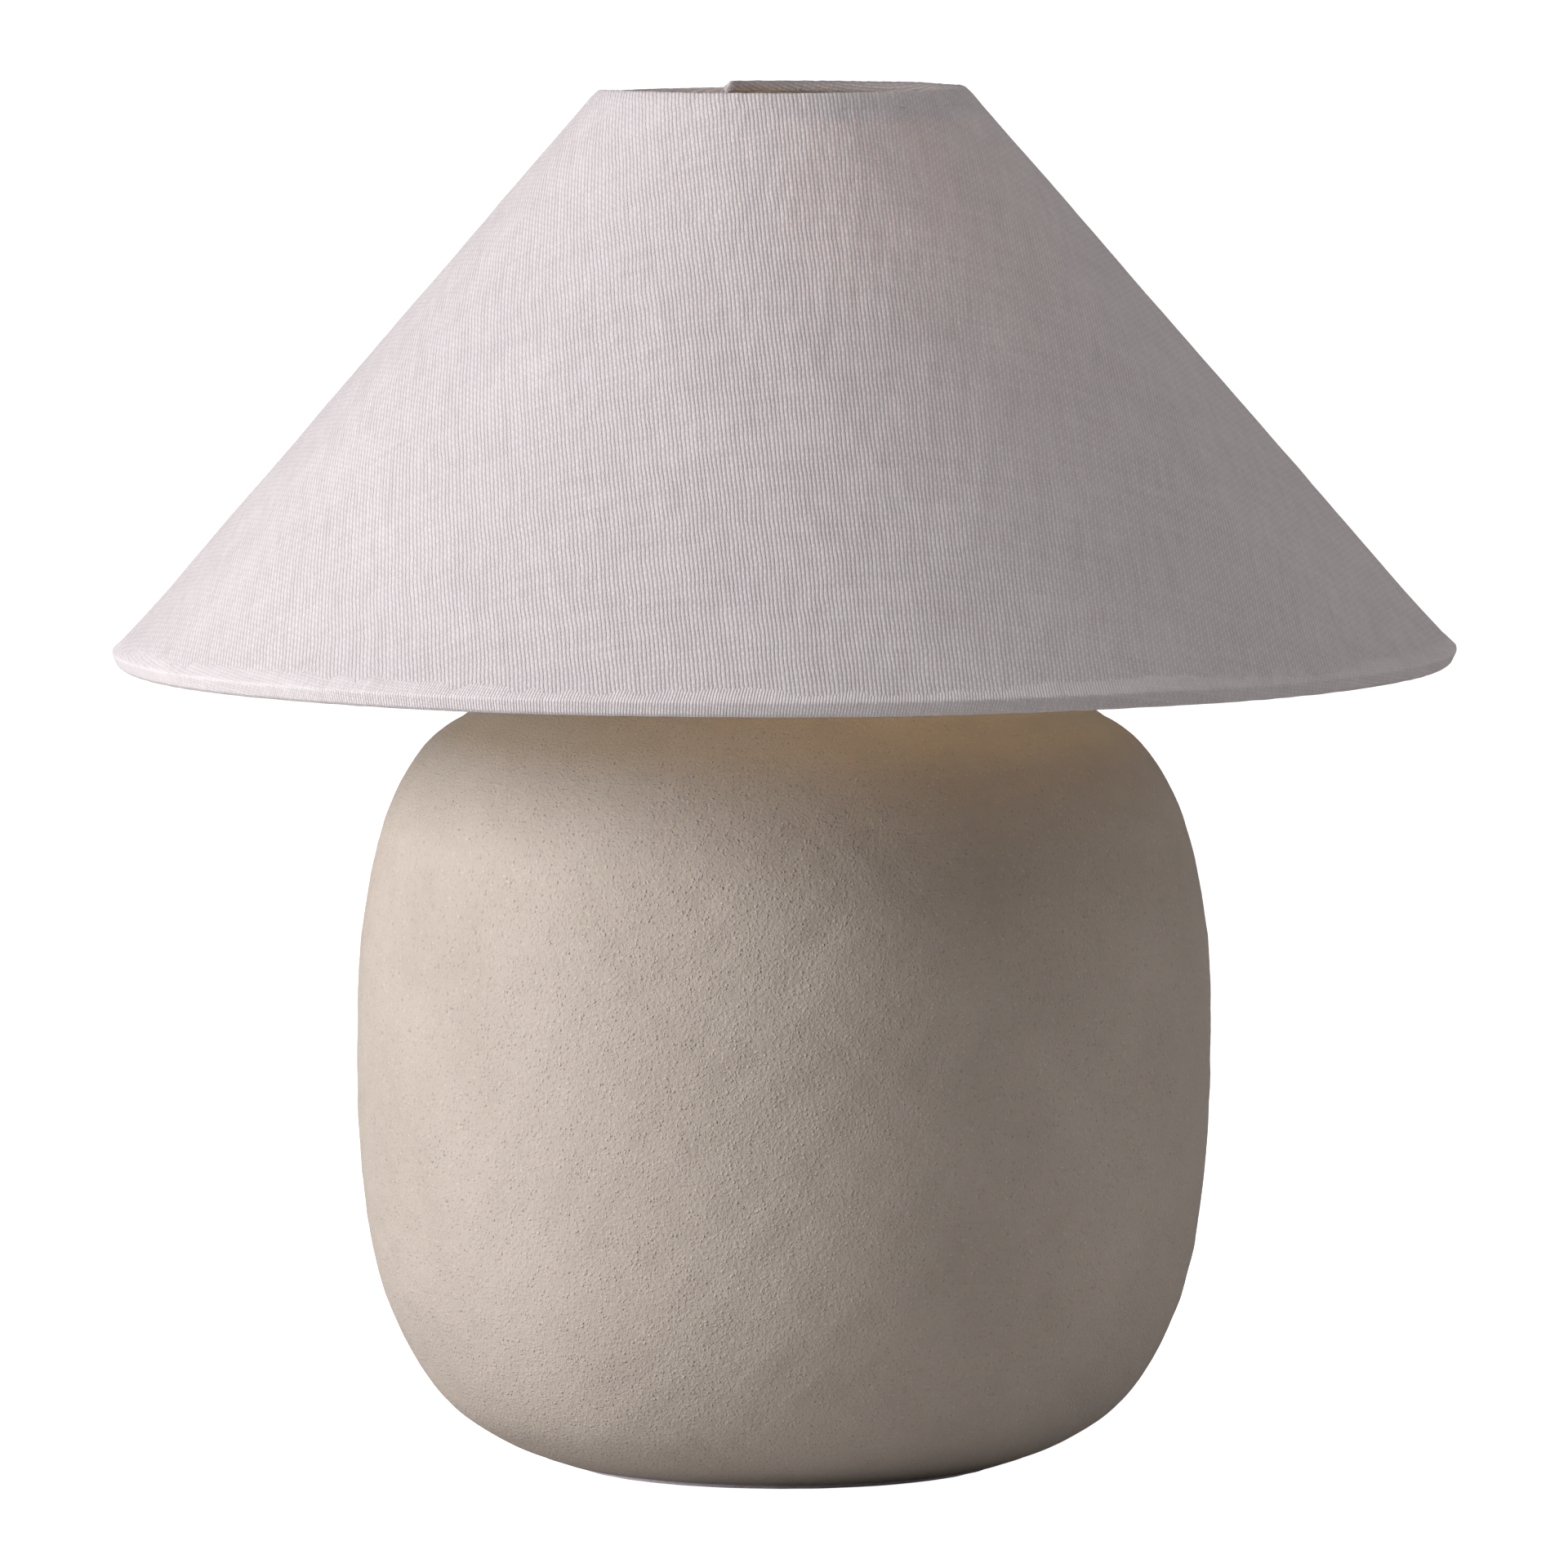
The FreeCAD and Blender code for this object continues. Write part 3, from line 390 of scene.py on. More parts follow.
def styrene(name):
    g = Graph(name)
    p = g.coords()
    n = g.noise(p, scale=1 / 22.0, detail=3.0)
    fine = g.noise(p, scale=0.9, detail=2.0)
    colour = g.mix(g.remap(n, 0.35, 0.7), (0.83, 0.80, 0.79), (0.88, 0.86, 0.85))
    bumped = g.bump(g.math("ADD", n, g.math("MULTIPLY", fine, 0.05)), 0.25 * MM, 0.6)
    sheet = g.principled(Base_Color=colour, Roughness=0.38, Specular_IOR_Level=0.4, Normal=bumped)
    back = g.nt.nodes.new("ShaderNodeBsdfTranslucent")
    g.put(back.inputs["Color"], colour)
    m = g.nt.nodes.new("ShaderNodeMixShader")
    m.inputs[0].default_value = 0.38
    g.nt.links.new(sheet, m.inputs[1])
    g.nt.links.new(back.outputs[0], m.inputs[2])
    return g.done(m.outputs[0])


def stoneware(name):
    """Matte stoneware glaze with sand in it: fine grit that stands up, pinholes, and slow changes of tone."""
    g = Graph(name)
    p = g.coords()
    bend = g.vmath("ADD", p, g.vmath("MULTIPLY", g.noise(p, scale=0.9, color=True), (0.5, 0.5, 0.5)))
    cloud = g.noise(p, scale=1 / 45.0, detail=4.0, rough=0.6)
    mottle = g.noise(p, scale=1 / 7.0, detail=4.0, rough=0.62)
    sand = g.voronoi(bend, scale=0.95)
    cr, cg, cb = g.xyz(g.voronoi(bend, scale=0.95, out="Color"))
    fine_sand = g.voronoi(bend, scale=1.55)
    fr, fg, fb = g.xyz(g.voronoi(bend, scale=1.55, out="Color"))
    crust = g.noise(bend, scale=1.05, detail=2.0, rough=0.55)
    tiny = g.noise(p, scale=2.6, detail=3.0, rough=0.75)
    colour = g.mix(g.remap(cloud, 0.35, 0.68), (0.410, 0.357, 0.312), (0.458, 0.402, 0.355))
    colour = g.mix(g.remap(mottle, 0.38, 0.68, 0.0, 0.22), colour, (0.505, 0.450, 0.400))
    colour = g.mix(g.remap(tiny, 0.52, 0.74, 0.0, 0.15), colour, (0.345, 0.296, 0.256))
    grain = g.math("MULTIPLY", g.math("GREATER_THAN", cr, 0.78), g.remap(sand, 0.40, 0.16, 0.0, 1.0))
    colour = g.mix(g.math("MULTIPLY", grain, 0.30), colour, (0.70, 0.64, 0.58))
    dark = g.math("MULTIPLY", g.math("GREATER_THAN", cg, 0.93), g.remap(sand, 0.24, 0.12, 0.0, 1.0))
    colour = g.mix(g.math("MULTIPLY", dark, 0.18), colour, (0.25, 0.21, 0.18))
    pits = g.voronoi(p, scale=0.30)
    pr, pg, _ = g.xyz(g.voronoi(p, scale=0.30, out="Color"))
    pit = g.math("MULTIPLY", g.math("GREATER_THAN", pr, 0.62), g.remap(pits, 0.16, 0.05, 0.0, 1.0))
    # painted shade: the pinholes are darkened in colour where their relief dips
    colour = g.mix(g.math("MULTIPLY", pit, 0.10), colour, (0.24, 0.205, 0.175))
    grains = g.math("MULTIPLY", g.remap(sand, 0.46, 0.02, 0.0, 1.0, True), g.math("POWER", g.remap(cb, 0.05, 1.0, 0.0, 1.0), 1.5))
    specks = g.math("MULTIPLY", g.remap(fine_sand, 0.52, 0.05, 0.0, 1.0, True), g.remap(fb, 0.10, 1.0, 0.0, 1.0))
    height = g.math("ADD", g.math("MULTIPLY", grains, 0.25), g.math("MULTIPLY", specks, 0.13))
    height = g.math("ADD", height, g.math("MULTIPLY", crust, 0.24))
    height = g.math("ADD", height, g.math("MULTIPLY", mottle, 0.06))
    height = g.math("ADD", height, g.math("MULTIPLY", tiny, 0.05))
    height = g.math("SUBTRACT", height, g.math("MULTIPLY", pit, 0.05))
    bumped = g.bump(height, 1.12 * MM, 1.0)
    rough = g.remap(mottle, 0.3, 0.7, 0.66, 0.86)
    return g.done(g.principled(Base_Color=colour, Roughness=rough, Specular_IOR_Level=0.32, Normal=bumped))


def plain(name, colour, second, roughness=0.5, metallic=0.0, scale=4.0, bump=0.03, spec=0.5, spread=0.06, coat=0.0):
    """A moulded, cast or plated surface: a little change in tone, and fine texture in its gloss and relief."""
    g = Graph(name)
    p = g.coords()
    big = g.noise(p, scale=1 / scale, detail=3.0)
    small = g.noise(p, scale=4.0, detail=3.0, rough=0.65)
    c = g.mix(g.remap(big, 0.35, 0.68), colour, second)
    rough = g.remap(small, 0.3, 0.7, max(roughness - spread, 0.02), min(roughness + spread, 1.0))
    bumped = g.bump(small, bump * MM, 0.8)
    return g.done(g.principled(Base_Color=c, Roughness=rough, Metallic=metallic, Specular_IOR_Level=spec, Coat_Weight=coat, Normal=bumped))


def brushed(name, colour, second, roughness=0.32, axis="z", turning=True):
    """Turned or drawn metal: fine lines round the lamp's axis, or along it."""
    g = Graph(name)
    p = g.coords()
    x, y, z = g.xyz(p)
    r = g.math("SQRT", g.math("ADD", g.math("MULTIPLY", x, x), g.math("MULTIPLY", y, y)))
    lines = g.noise(g.join(g.math("MULTIPLY", r, 6.0), g.math("MULTIPLY", z, 6.0), 0.0) if turning else g.join(g.math("MULTIPLY", x, 7.0), g.math("MULTIPLY", y, 7.0), g.math("MULTIPLY", z, 0.15)), scale=1.0, detail=3.0, rough=0.7)
    spots = g.noise(p, scale=0.8, detail=3.0)
    c = g.mix(g.remap(spots, 0.4, 0.7), colour, second)
    rough = g.remap(lines, 0.3, 0.7, roughness - 0.10, roughness + 0.12)
    bumped = g.bump(lines, 0.025 * MM, 0.8)
    return g.done(g.principled(Base_Color=c, Roughness=rough, Metallic=1.0, Normal=bumped))


def pad_foam(name):
    g = Graph(name)
    p = g.coords()
    cells = g.voronoi(p, scale=1.5)
    n = g.noise(p, scale=0.5, detail=4.0, rough=0.7)
    # painted light: the pad is coloured pale lavender, standing in for the floor's light reflected onto it in the shade
    # under the body's overhang
    colour = g.mix(g.remap(n, 0.35, 0.7), (0.76, 0.72, 0.80), (0.85, 0.81, 0.89))
    bumped = g.bump(g.math("ADD", g.math("MULTIPLY", cells, -0.6), n), 0.25 * MM, 1.0)
    return g.done(g.principled(Base_Color=colour, Roughness=0.93, Specular_IOR_Level=0.2, Sheen_Weight=0.15, Normal=bumped))


def clear_glass(name):
    """Thin blown glass: what is behind shows straight through, with the gloss of its surface."""
    g = Graph(name)
    t = g.nt.nodes.new("ShaderNodeBsdfTransparent")
    t.inputs["Color"].default_value = (0.985, 0.98, 0.965, 1.0)
    s = g.nt.nodes.new("ShaderNodeBsdfGlossy")
    s.inputs["Roughness"].default_value = 0.03
    s.inputs["Color"].default_value = (1.0, 1.0, 1.0, 1.0)
    f = g.nt.nodes.new("ShaderNodeLayerWeight")
    f.inputs["Blend"].default_value = 0.10
    m = g.nt.nodes.new("ShaderNodeMixShader")
    g.nt.links.new(f.outputs["Facing"], m.inputs[0])
    g.nt.links.new(t.outputs[0], m.inputs[1])
    g.nt.links.new(s.outputs[0], m.inputs[2])
    return g.done(m.outputs[0])


def glowing(name, colour, strength):
    g = Graph(name)
    p = g.coords()
    n = g.noise(p, scale=1.2, detail=2.0)
    c = g.mix(g.remap(n, 0.35, 0.7), (0.95, 0.70, 0.30), (0.90, 0.60, 0.22))
    n = g.nt.nodes.new("ShaderNodeBsdfPrincipled")
    g.put(n.inputs["Base Color"], c)
    n.inputs["Roughness"].default_value = 0.5
    n.inputs["Emission Color"].default_value = (*colour, 1.0)
    n.inputs["Emission Strength"].default_value = strength
    return g.done(n.outputs[0])


M = {
    "shade_fabric": fabric("woven_cotton"),
    # painted shade: the hem's cloth is given a darker colour than the shade's cloth, for the shade on the rolled hem's
    # underside
    "hem_fabric": fabric("hem_cotton", tint=(0.715, 0.665, 0.685), relief=0.25, warp=0.74, weft=0.95, through=0.16, flecks=False),
    # the rim's cloth carries painted shade on its turned-in edge
    "rim_fabric": fabric("rim_cotton", flecks=False, tape=True),
    "lining": styrene("styrene_lining"),
    "stoneware": stoneware("sanded_stoneware"),
    "foot": pad_foam("foot_foam"),
    "white_plastic": plain("moulded_white", (0.80, 0.785, 0.75), (0.74, 0.72, 0.685), roughness=0.34, scale=12, bump=0.02),
    "nylon": plain("natural_nylon", (0.72, 0.70, 0.64), (0.78, 0.76, 0.71), roughness=0.5, scale=8, bump=0.03),
    "enamel": plain("white_epoxy", (0.80, 0.795, 0.78), (0.73, 0.72, 0.70), roughness=0.38, scale=5, bump=0.05),
    "neck_paint": plain("neck_paint", (0.50, 0.45, 0.385), (0.44, 0.395, 0.335), roughness=0.48, scale=9, bump=0.05),
    "bushing": plain("soft_bushing", (0.50, 0.465, 0.425), (0.44, 0.41, 0.37), roughness=0.62, scale=6, bump=0.05),
    "rubber": plain("black_rubber", (0.030, 0.030, 0.031), (0.045, 0.044, 0.043), roughness=0.72, scale=5, bump=0.06, spec=0.35),
    "board": plain("pressed_board", (0.34, 0.25, 0.165), (0.42, 0.32, 0.215), roughness=0.85, scale=3, bump=0.12, spec=0.2),
    "zinc": brushed("zinc_plate", (0.62, 0.63, 0.63), (0.70, 0.70, 0.69)),
    "brass": brushed("plain_brass", (0.72, 0.52, 0.22), (0.80, 0.60, 0.28)),
    "cap_metal": brushed("bulb_cap", (0.72, 0.71, 0.68), (0.80, 0.79, 0.76), roughness=0.28),
    "block": plain("bisque_block", (0.76, 0.73, 0.66), (0.70, 0.67, 0.60), roughness=0.7, scale=5, bump=0.06),
    "vitrite": plain("black_vitrite", (0.012, 0.012, 0.016), (0.02, 0.02, 0.026), roughness=0.12, scale=5, bump=0.01, coat=0.3),
    "solder": plain("soft_solder", (0.55, 0.55, 0.54), (0.62, 0.62, 0.60), roughness=0.38, metallic=1.0, scale=2, bump=0.08),
    "glass": clear_glass("thin_glass"),
    "filament": glowing("phosphor", (1.0, 0.62, 0.28), 6.0),
    "nickel": plain("nickel_wire", (0.66, 0.64, 0.60), (0.72, 0.70, 0.66), roughness=0.25, metallic=1.0, scale=2, bump=0.02),
    "brown_lead": plain("brown_silicone", (0.13, 0.06, 0.028), (0.16, 0.075, 0.035), roughness=0.5, scale=6, bump=0.03),
    "blue_lead": plain("blue_silicone", (0.035, 0.10, 0.30), (0.045, 0.12, 0.34), roughness=0.5, scale=6, bump=0.03),
}


# ------------------------------------------------------------------------------------------------------------------
# Mesh helpers
# ------------------------------------------------------------------------------------------------------------------
def make_mesh(name, verts, quads, uvs=None, sharp=None):
    """uvs: {map name: one (u, v) for each face corner}."""
    me = bpy.data.meshes.new(name)
    verts = np.asarray(verts, np.float32)
    quads = np.asarray(quads, np.int32)
    me.vertices.add(len(verts))
    me.vertices.foreach_set("co", verts.ravel())
    me.loops.add(quads.size)
    me.loops.foreach_set("vertex_index", quads.ravel())
    me.polygons.add(len(quads))
    me.polygons.foreach_set("loop_start", np.arange(0, quads.size, quads.shape[1], dtype=np.int32))
    me.update(calc_edges=True)
    for map_name, uv in (uvs or {}).items():
        layer = me.uv_layers.new(name=map_name)
        layer.data.foreach_set("uv", np.asarray(uv, np.float32).ravel())
    me.polygons.foreach_set("use_smooth", np.ones(len(quads), bool))
    me.validate()
    if sharp is not None:
        me.set_sharp_from_angle(angle=math.radians(sharp))
    ob = bpy.data.objects.new(name, me)
    scene.collection.objects.link(ob)
    return ob


def grid_faces(rows, cols, wrap_rows, wrap_cols):
    """Quads of a grid of points in row order, and each corner's own row and column, not wrapped."""
    r = np.arange(rows if wrap_rows else rows - 1)
    c = np.arange(cols if wrap_cols else cols - 1)
    R, C = np.meshgrid(r, c, indexing="ij")
    R, C = R.ravel(), C.ravel()
    corner_r = np.stack([R, R, R + 1, R + 1], -1)
    corner_c = np.stack([C, C + 1, C + 1, C], -1)
    return (corner_r % rows) * cols + corner_c % cols, corner_r, corner_c


def fillet(points, steps=5):
    """A polyline with its corners rounded. Each point is (r, z) or (r, z, radius)."""
    out = []
    n = len(points)
    for i, p in enumerate(points):
        if len(p) == 2 or p[2] <= 0:
            out.append((p[0], p[1]))
            continue
        a, b, c = Vector(points[i - 1][:2]), Vector(p[:2]), Vector(points[(i + 1) % n][:2])
        u, v = (a - b).normalized(), (c - b).normalized()
        ang = math.pi - u.angle(v)
        t = p[2] * math.tan(ang / 2)
        t = min(t, (a - b).length * 0.49, (c - b).length * 0.49)
        rad = t / math.tan(ang / 2)
        centre = b + (u + v).normalized() * (rad / math.cos(ang / 2))
        p1, p2 = b + u * t, b + v * t
        for k in range(steps + 1):
            s = k / steps
            q = (p1 * (1 - s) + p2 * s) - centre
            q = centre + q.normalized() * rad
            out.append((q.x, q.y))
    return out


def densify(points, step, closed=True):
    pts = [Vector(p) for p in points]
    out = []
    last = len(pts) if closed else len(pts) - 1
    for i in range(last):
        a, b = pts[i], pts[(i + 1) % len(pts)]
        n = max(1, int(math.ceil((b - a).length / step)))
        for k in range(n):
            out.append(tuple(a + (b - a) * (k / n)))
    if not closed:
        out.append(tuple(pts[-1]))
    return out


def lathe(name, profile, segments, closed=True, shift=None, start=0.0, sharp=40, scale_uv=1.0, maps=("threads",)):
    """A turned mesh. profile: (r, z) in mm, anticlockwise seen with r to the right. shift(theta, r, z) -> (r, z)."""
    prof = np.asarray(profile, float)
    rows, cols = len(prof), segments
    theta = start + np.arange(cols) / cols * TAU
    T = np.broadcast_to(theta[None, :], (rows, cols))
    R = np.broadcast_to(prof[:, 0:1], (rows, cols)).copy()
    Z = np.broadcast_to(prof[:, 1:2], (rows, cols)).copy()
    if shift is not None:
        R, Z = shift(T, R, Z)
    P = np.stack([R * np.cos(T), R * np.sin(T), Z], -1) * MM
    quads, cr, cc = grid_faces(rows, cols, closed, True)
    length = np.concatenate([[0], np.cumsum(np.hypot(*np.diff(np.vstack([prof, prof[:1]]), axis=0).T))])
    mean_r = max(prof[:, 0].mean(), 0.5)
    uv = np.stack([(start + cc / cols * TAU) * mean_r, length[cr]], -1) * scale_uv
    ob = make_mesh(name, P.reshape(-1, 3), quads, {m: uv for m in maps}, sharp)
    return ob


def ripple(seed, waves, amplitude, k_theta=(2, 9), k_z=(0.01, 0.05)):
    """A smooth random field over (theta, z), periodic in theta."""
    rng = np.random.default_rng(seed)
    kt = rng.integers(k_theta[0], k_theta[1] + 1, waves)
    kz = rng.uniform(k_z[0], k_z[1], waves) * TAU * rng.choice([-1, 1], waves)
    ph = rng.uniform(0, TAU, waves)
    am = rng.uniform(0.4, 1.0, waves)
    am = am / np.sqrt((am ** 2).sum() / 2) * amplitude

    def field(theta, z):
        total = np.zeros(np.broadcast(theta, z).shape)
        for a, t, s, p in zip(am, kt, kz, ph):
            total = total + a * np.cos(t * theta + s * z + p)
        return total

    return field


def give(ob, material, body, slot, *nodes):
    if ob.data.materials:
        ob.data.materials[0] = material
    else:
        ob.data.materials.append(material)
    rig.ride(ob, body)
    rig.slot(ob, slot)
    if nodes:
        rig.replaces(ob, *nodes)
    return ob


# ------------------------------------------------------------------------------------------------------------------
# Stoneware body
# ------------------------------------------------------------------------------------------------------------------
def arc(a, b, radius, n):
    """Points from a to b, not including b, on an arc with its centre on the left."""
    a, b = Vector(a), Vector(b)
    d = b - a
    left = Vector((-d.y, d.x)).normalized()
    c = (a + b) / 2 + left * math.sqrt(radius * radius - d.length_squared / 4)
    ta, tb = math.atan2(a.y - c.y, a.x - c.x), math.atan2(b.y - c.y, b.x - c.x)
    if tb < ta:
        tb += TAU
    return [(c.x + radius * math.cos(ta + (tb - ta) * k / n), c.y + radius * math.sin(ta + (tb - ta) * k / n)) for k in range(n)]


outer = []
outer += arc((63.429, 2.809), (91.536, 24.217), 49.774, 24)
outer += arc((91.536, 24.217), (103.913, 57.445), 89.023, 24)
outer += arc((103.913, 57.445), (107.24, 100.0), 273.789, 24)
outer += [(107.24, 100.0 + 16.0 * k / 9) for k in range(9)]
outer += arc((107.24, 116.0), (101.14, 159.88), 160.791, 26)
outer += arc((101.14, 159.88), (74.27, 194.38), 58.171, 28)
outer += arc((74.27, 194.38), (16.56, 209.84), 115.424, 26)
outer = np.array(outer)
for _ in range(3):  # eases the small kinks where the arcs meet
    outer[1:-1] = outer[1:-1] * 0.5 + (outer[:-2] + outer[2:]) * 0.25
foot = fillet([(44.0, 1.5), (58.2, 1.5, 1.3), tuple(outer[0])], 4)[:-1]
crown = fillet([tuple(outer[-1]), (16.56, 209.84), (5.6, 209.84, 0.8), (5.6, 204.84), (16.56, 204.84)], 3)[1:]
inner = [(74.0 - 2.5, 194.4 - 4.33), (101.14 - 4.81, 159.88 - 1.36), (102.24, 116.0), (102.24, 100.0), (103.9 - 4.94, 57.4 + 0.78),
         (91.5 - 4.24, 24.2 + 2.64), (62.0, 8.5), (36.0, 8.5), (36.0, 3.5), (44.0, 3.5)]
section = foot + [tuple(p) for p in outer] + crown + inner
slow = ripple(11, 14, 0.16, (1, 5), (0.002, 0.010))
hand = ripple(12, 40, 0.055, (8, 60), (0.02, 0.09))
sandy = ripple(13, 90, 0.030, (60, 200), (0.09, 0.22))


def side_of(z, r):
    """The outside's normal at a height, from its own section."""
    t = np.gradient(outer, axis=0)
    t /= np.linalg.norm(t, axis=1)[:, None]
    return np.interp(z, outer[:, 1], t[:, 1]), np.interp(z, outer[:, 1], -t[:, 0])


def throw(theta, r, z):
    """Hand-thrown unevenness on the outside only."""
    out = (z > 1.6) & (z < 209.0) & (r > 30.0)
    edge = np.clip(np.minimum(z - 1.6, 209.0 - z) / 10.0, 0, 1)
    inside = np.zeros_like(out)
    inside[len(foot) + len(outer) + len(crown):] = True
    push = (slow(theta, z) + hand(theta, z) + sandy(theta, z)) * edge
    ease = lambda v: np.clip(v, 0, 1) ** 2 * (3 - 2 * np.clip(v, 0, 1))
    shoulder = np.where(z > 179.5, 1.75 * np.clip((z - 179.5) / 9.6, 0, 1) ** 2 * ease((r - 18.0) / 40.0), 0.0)
    foot_curve = np.where(z < 30.0, 0.55 * ease((17.0 - z) / 10.0) * ease((z - 1.7) / 1.6), 0.0)
    nr, nz = side_of(z, r)
    pull = np.where((r > 17.0) & (z > 1.7) & (z < 209.85), shoulder + foot_curve, 0.0)
    r2 = np.where(out & ~inside, r + push, r)
    keep = ~inside & (r > 17.0)
    return np.where(keep, r2 - pull * nr, r2), np.where(keep, z - pull * nz, z)


body = lathe("stoneware_body", section, 480, True, throw, sharp=50)
# the cable hole in the rear wall
tilt = math.radians(24.06)
normal = Vector((0, math.cos(tilt), -math.sin(tilt)))
centre = Vector((0, 97.26, 34.98))


def turned_at(name, profile, segments, origin, direction, closed=True, sharp=40):
    ob = lathe(name, profile, segments, closed, sharp=sharp)
    rot = Vector((0, 0, 1)).rotation_difference(direction).to_matrix().to_4x4()
    ob.data.transform(rot)
    ob.data.transform(__import__("mathutils").Matrix.Translation(origin * MM))
    return ob


def bore_out(ob, cutter):
    """Cuts cutter from ob and applies it."""
    mod = ob.modifiers.new("cut", "BOOLEAN")
    mod.operation = "DIFFERENCE"
    mod.solver = "EXACT"
    mod.object = cutter
    bpy.context.view_layer.update()
    done = bpy.data.meshes.new_from_object(ob.evaluated_get(bpy.context.evaluated_depsgraph_get()))
    ob.modifiers.clear()
    old = ob.data
    ob.data = done
    bpy.data.meshes.remove(old)
    bpy.data.objects.remove(cutter)


drill = lathe("drill", [(0.001, -16), (6.0, -16), (6.0, -0.6), (8.3, -0.6), (8.3, 9), (0.001, 9)], 64)
drill.data.transform(Vector((0, 0, 1)).rotation_difference(normal).to_matrix().to_4x4())
drill.data.transform(__import__("mathutils").Matrix.Translation(centre * MM))
bore_out(body, drill)
give(body, M["stoneware"], "base", "stoneware", "ceramic_body")

pad_edge = ripple(21, 20, 0.10, (3, 40), (0.0, 0.1))
pad_section = densify(fillet([(0.8, 0.0), (53.9, 0.0, 0.25), (53.9, 1.48, 0.45), (0.8, 1.48)], 4), 6.0)
foot_pad = lathe("foot_pad_disc", pad_section, 256, True, lambda t, r, z: (np.where(r > 50, r + pad_edge(t, z) - 0.1, r), z))
give(foot_pad, M["foot"], "base", "felt", "foot_pad")
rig.sheet(foot_pad, flat=(0.1078, 0.1078), held="laid", rests_on=["stoneware_body"], area=round(math.pi * 0.0539 ** 2, 5))

# ------------------------------------------------------------------------------------------------------------------
# Shade. The cloth is cut as one sector of a ring, its edges lapped at the back left. "threads" holds the cloth's
# own flat coordinates in millimetres, so the threads run straight in the cloth and turn round the cone.
# ------------------------------------------------------------------------------------------------------------------
NR, NZ = 0.756, 0.6547          # the cone's outward normal: outward, up
TOP_R, TOP_Z = 45.85, 346.0     # a point on the outer face's line
SINA = NZ / math.hypot(NR, NZ)  # how far a turn on the cone turns the flat cloth
GRAIN = math.radians(270 + 7)   # the azimuth where the warp runs straight down
SEAM = math.radians(90 + 18)    # the lap, at the back
LEAN = math.radians(0.16)       # the shade sits a hair off level, its right side up
apex = TOP_R / NZ * math.hypot(NR, NZ)  # slant distance from the apex to the top line


def lean(co):
    """The slight lean of the shade, about the fitter ring."""
    out = np.array(co, float)
    x, z = co[..., 0], co[..., 2] - 0.245
    out[..., 0] = x * math.cos(LEAN) - z * math.sin(LEAN)
    out[..., 2] = x * math.sin(LEAN) + z * math.cos(LEAN) + 0.245
    return out


def flat_cloth(theta, slant):
    """Flat coordinates in mm of the cloth at an azimuth and a slant distance below the top line."""
    a = (theta - GRAIN) * SINA
    rho = apex + slant
    return np.stack([rho * np.sin(a), -rho * np.cos(a)], -1)


def on_cone(theta, slant, depth):
    """A point in mm on the cone, depth mm outside its face's line (negative: inside)."""
    r = TOP_R + slant * NZ + depth * NR
    z = TOP_Z - slant * NR + depth * NZ
    return r, z


slack = ripple(31, 26, 0.060, (3, 30), (0.004, 0.03))
puffs = ripple(32, 40, 0.028, (30, 120), (0.02, 0.08))


def cloth_shell(name, s0, s1, rows, cols, thick, lap_mm, depth0=0.0, lift=0.52):
    """A closed thin shell of lapped cloth between two slant distances."""
    s = np.linspace(s0, s1, rows)
    total = TAU
    tt = np.linspace(0, 1, cols)
    layers, uvs = [], []
    for side in (0, 1):
        S, T = np.meshgrid(s, tt, indexing="ij")
        r_here = TOP_R + S * NZ
        lap = lap_mm / r_here
        ang = T * (total + lap)
        theta = SEAM + ang
        over = np.clip((ang - (total - 5.0 / r_here)) / (5.0 / r_here), 0, 1)
        over = over * over * (3 - 2 * over)
        flare = np.clip((S - 166.0) / 18.0, 0, 1)
        depth = depth0 - side * thick + over * lift + slack(theta, S) + puffs(theta, S) + 0.48 * flare * flare
        r, z = on_cone(theta, S, depth)
        layers.append(np.stack([r * np.cos(theta), r * np.sin(theta), z], -1) * MM)
        uvs.append(flat_cloth(theta, S))
    rows_n, cols_n = rows, cols
    q, cr, cc = grid_faces(rows_n, cols_n, False, False)
    front = q[:, ::-1]
    back = q + rows_n * cols_n
    P = np.concatenate([layers[0].reshape(-1, 3), layers[1].reshape(-1, 3)])
    U = np.concatenate([uvs[0].reshape(-1, 2), uvs[1].reshape(-1, 2)])
    # the four edges
    idx = np.arange(rows_n * cols_n).reshape(rows_n, cols_n)
    off = rows_n * cols_n

    def strip(line):
        a, b = line[:-1], line[1:]
        return np.stack([a, b, b + off, a + off], -1)

    edges = np.concatenate([strip(idx[0]), strip(idx[-1][::-1]), strip(idx[:, 0][::-1]), strip(idx[:, -1])])
    quads = np.concatenate([front, back, edges])
    uv = U[quads]
    lo, hi = U.min(0), U.max(0)
    bake = (uv - lo) / (hi - lo).max()
    bake[len(front):] = bake[len(front):] * 0.25 + 0.0
    ob = make_mesh(name, lean(P), quads, {"threads": uv}, 60)
    ob.data.update()
    return ob


COVER_S0, COVER_S1 = 2.7, 184.6
cover = cloth_shell("shade_cloth", COVER_S0, COVER_S1, 64, 760, 0.42, 9.0)
give(cover, M["shade_fabric"], "shade", "shade_fabric", "shade_cover")
lining = cloth_shell("shade_backing", COVER_S0 + 0.4, COVER_S1 - 0.8, 24, 300, 0.42, 7.0, depth0=-0.56, lift=-0.45)
give(lining, M["lining"], "shade", "styrene", "shade_lining")


def face(s, depth=0.0):
    """A point (r, z) in mm on the cone's section, s mm down the slope and depth mm outside the face's line."""
    return (TOP_R + s * NZ + depth * NR, TOP_Z - s * NR + depth * NZ)


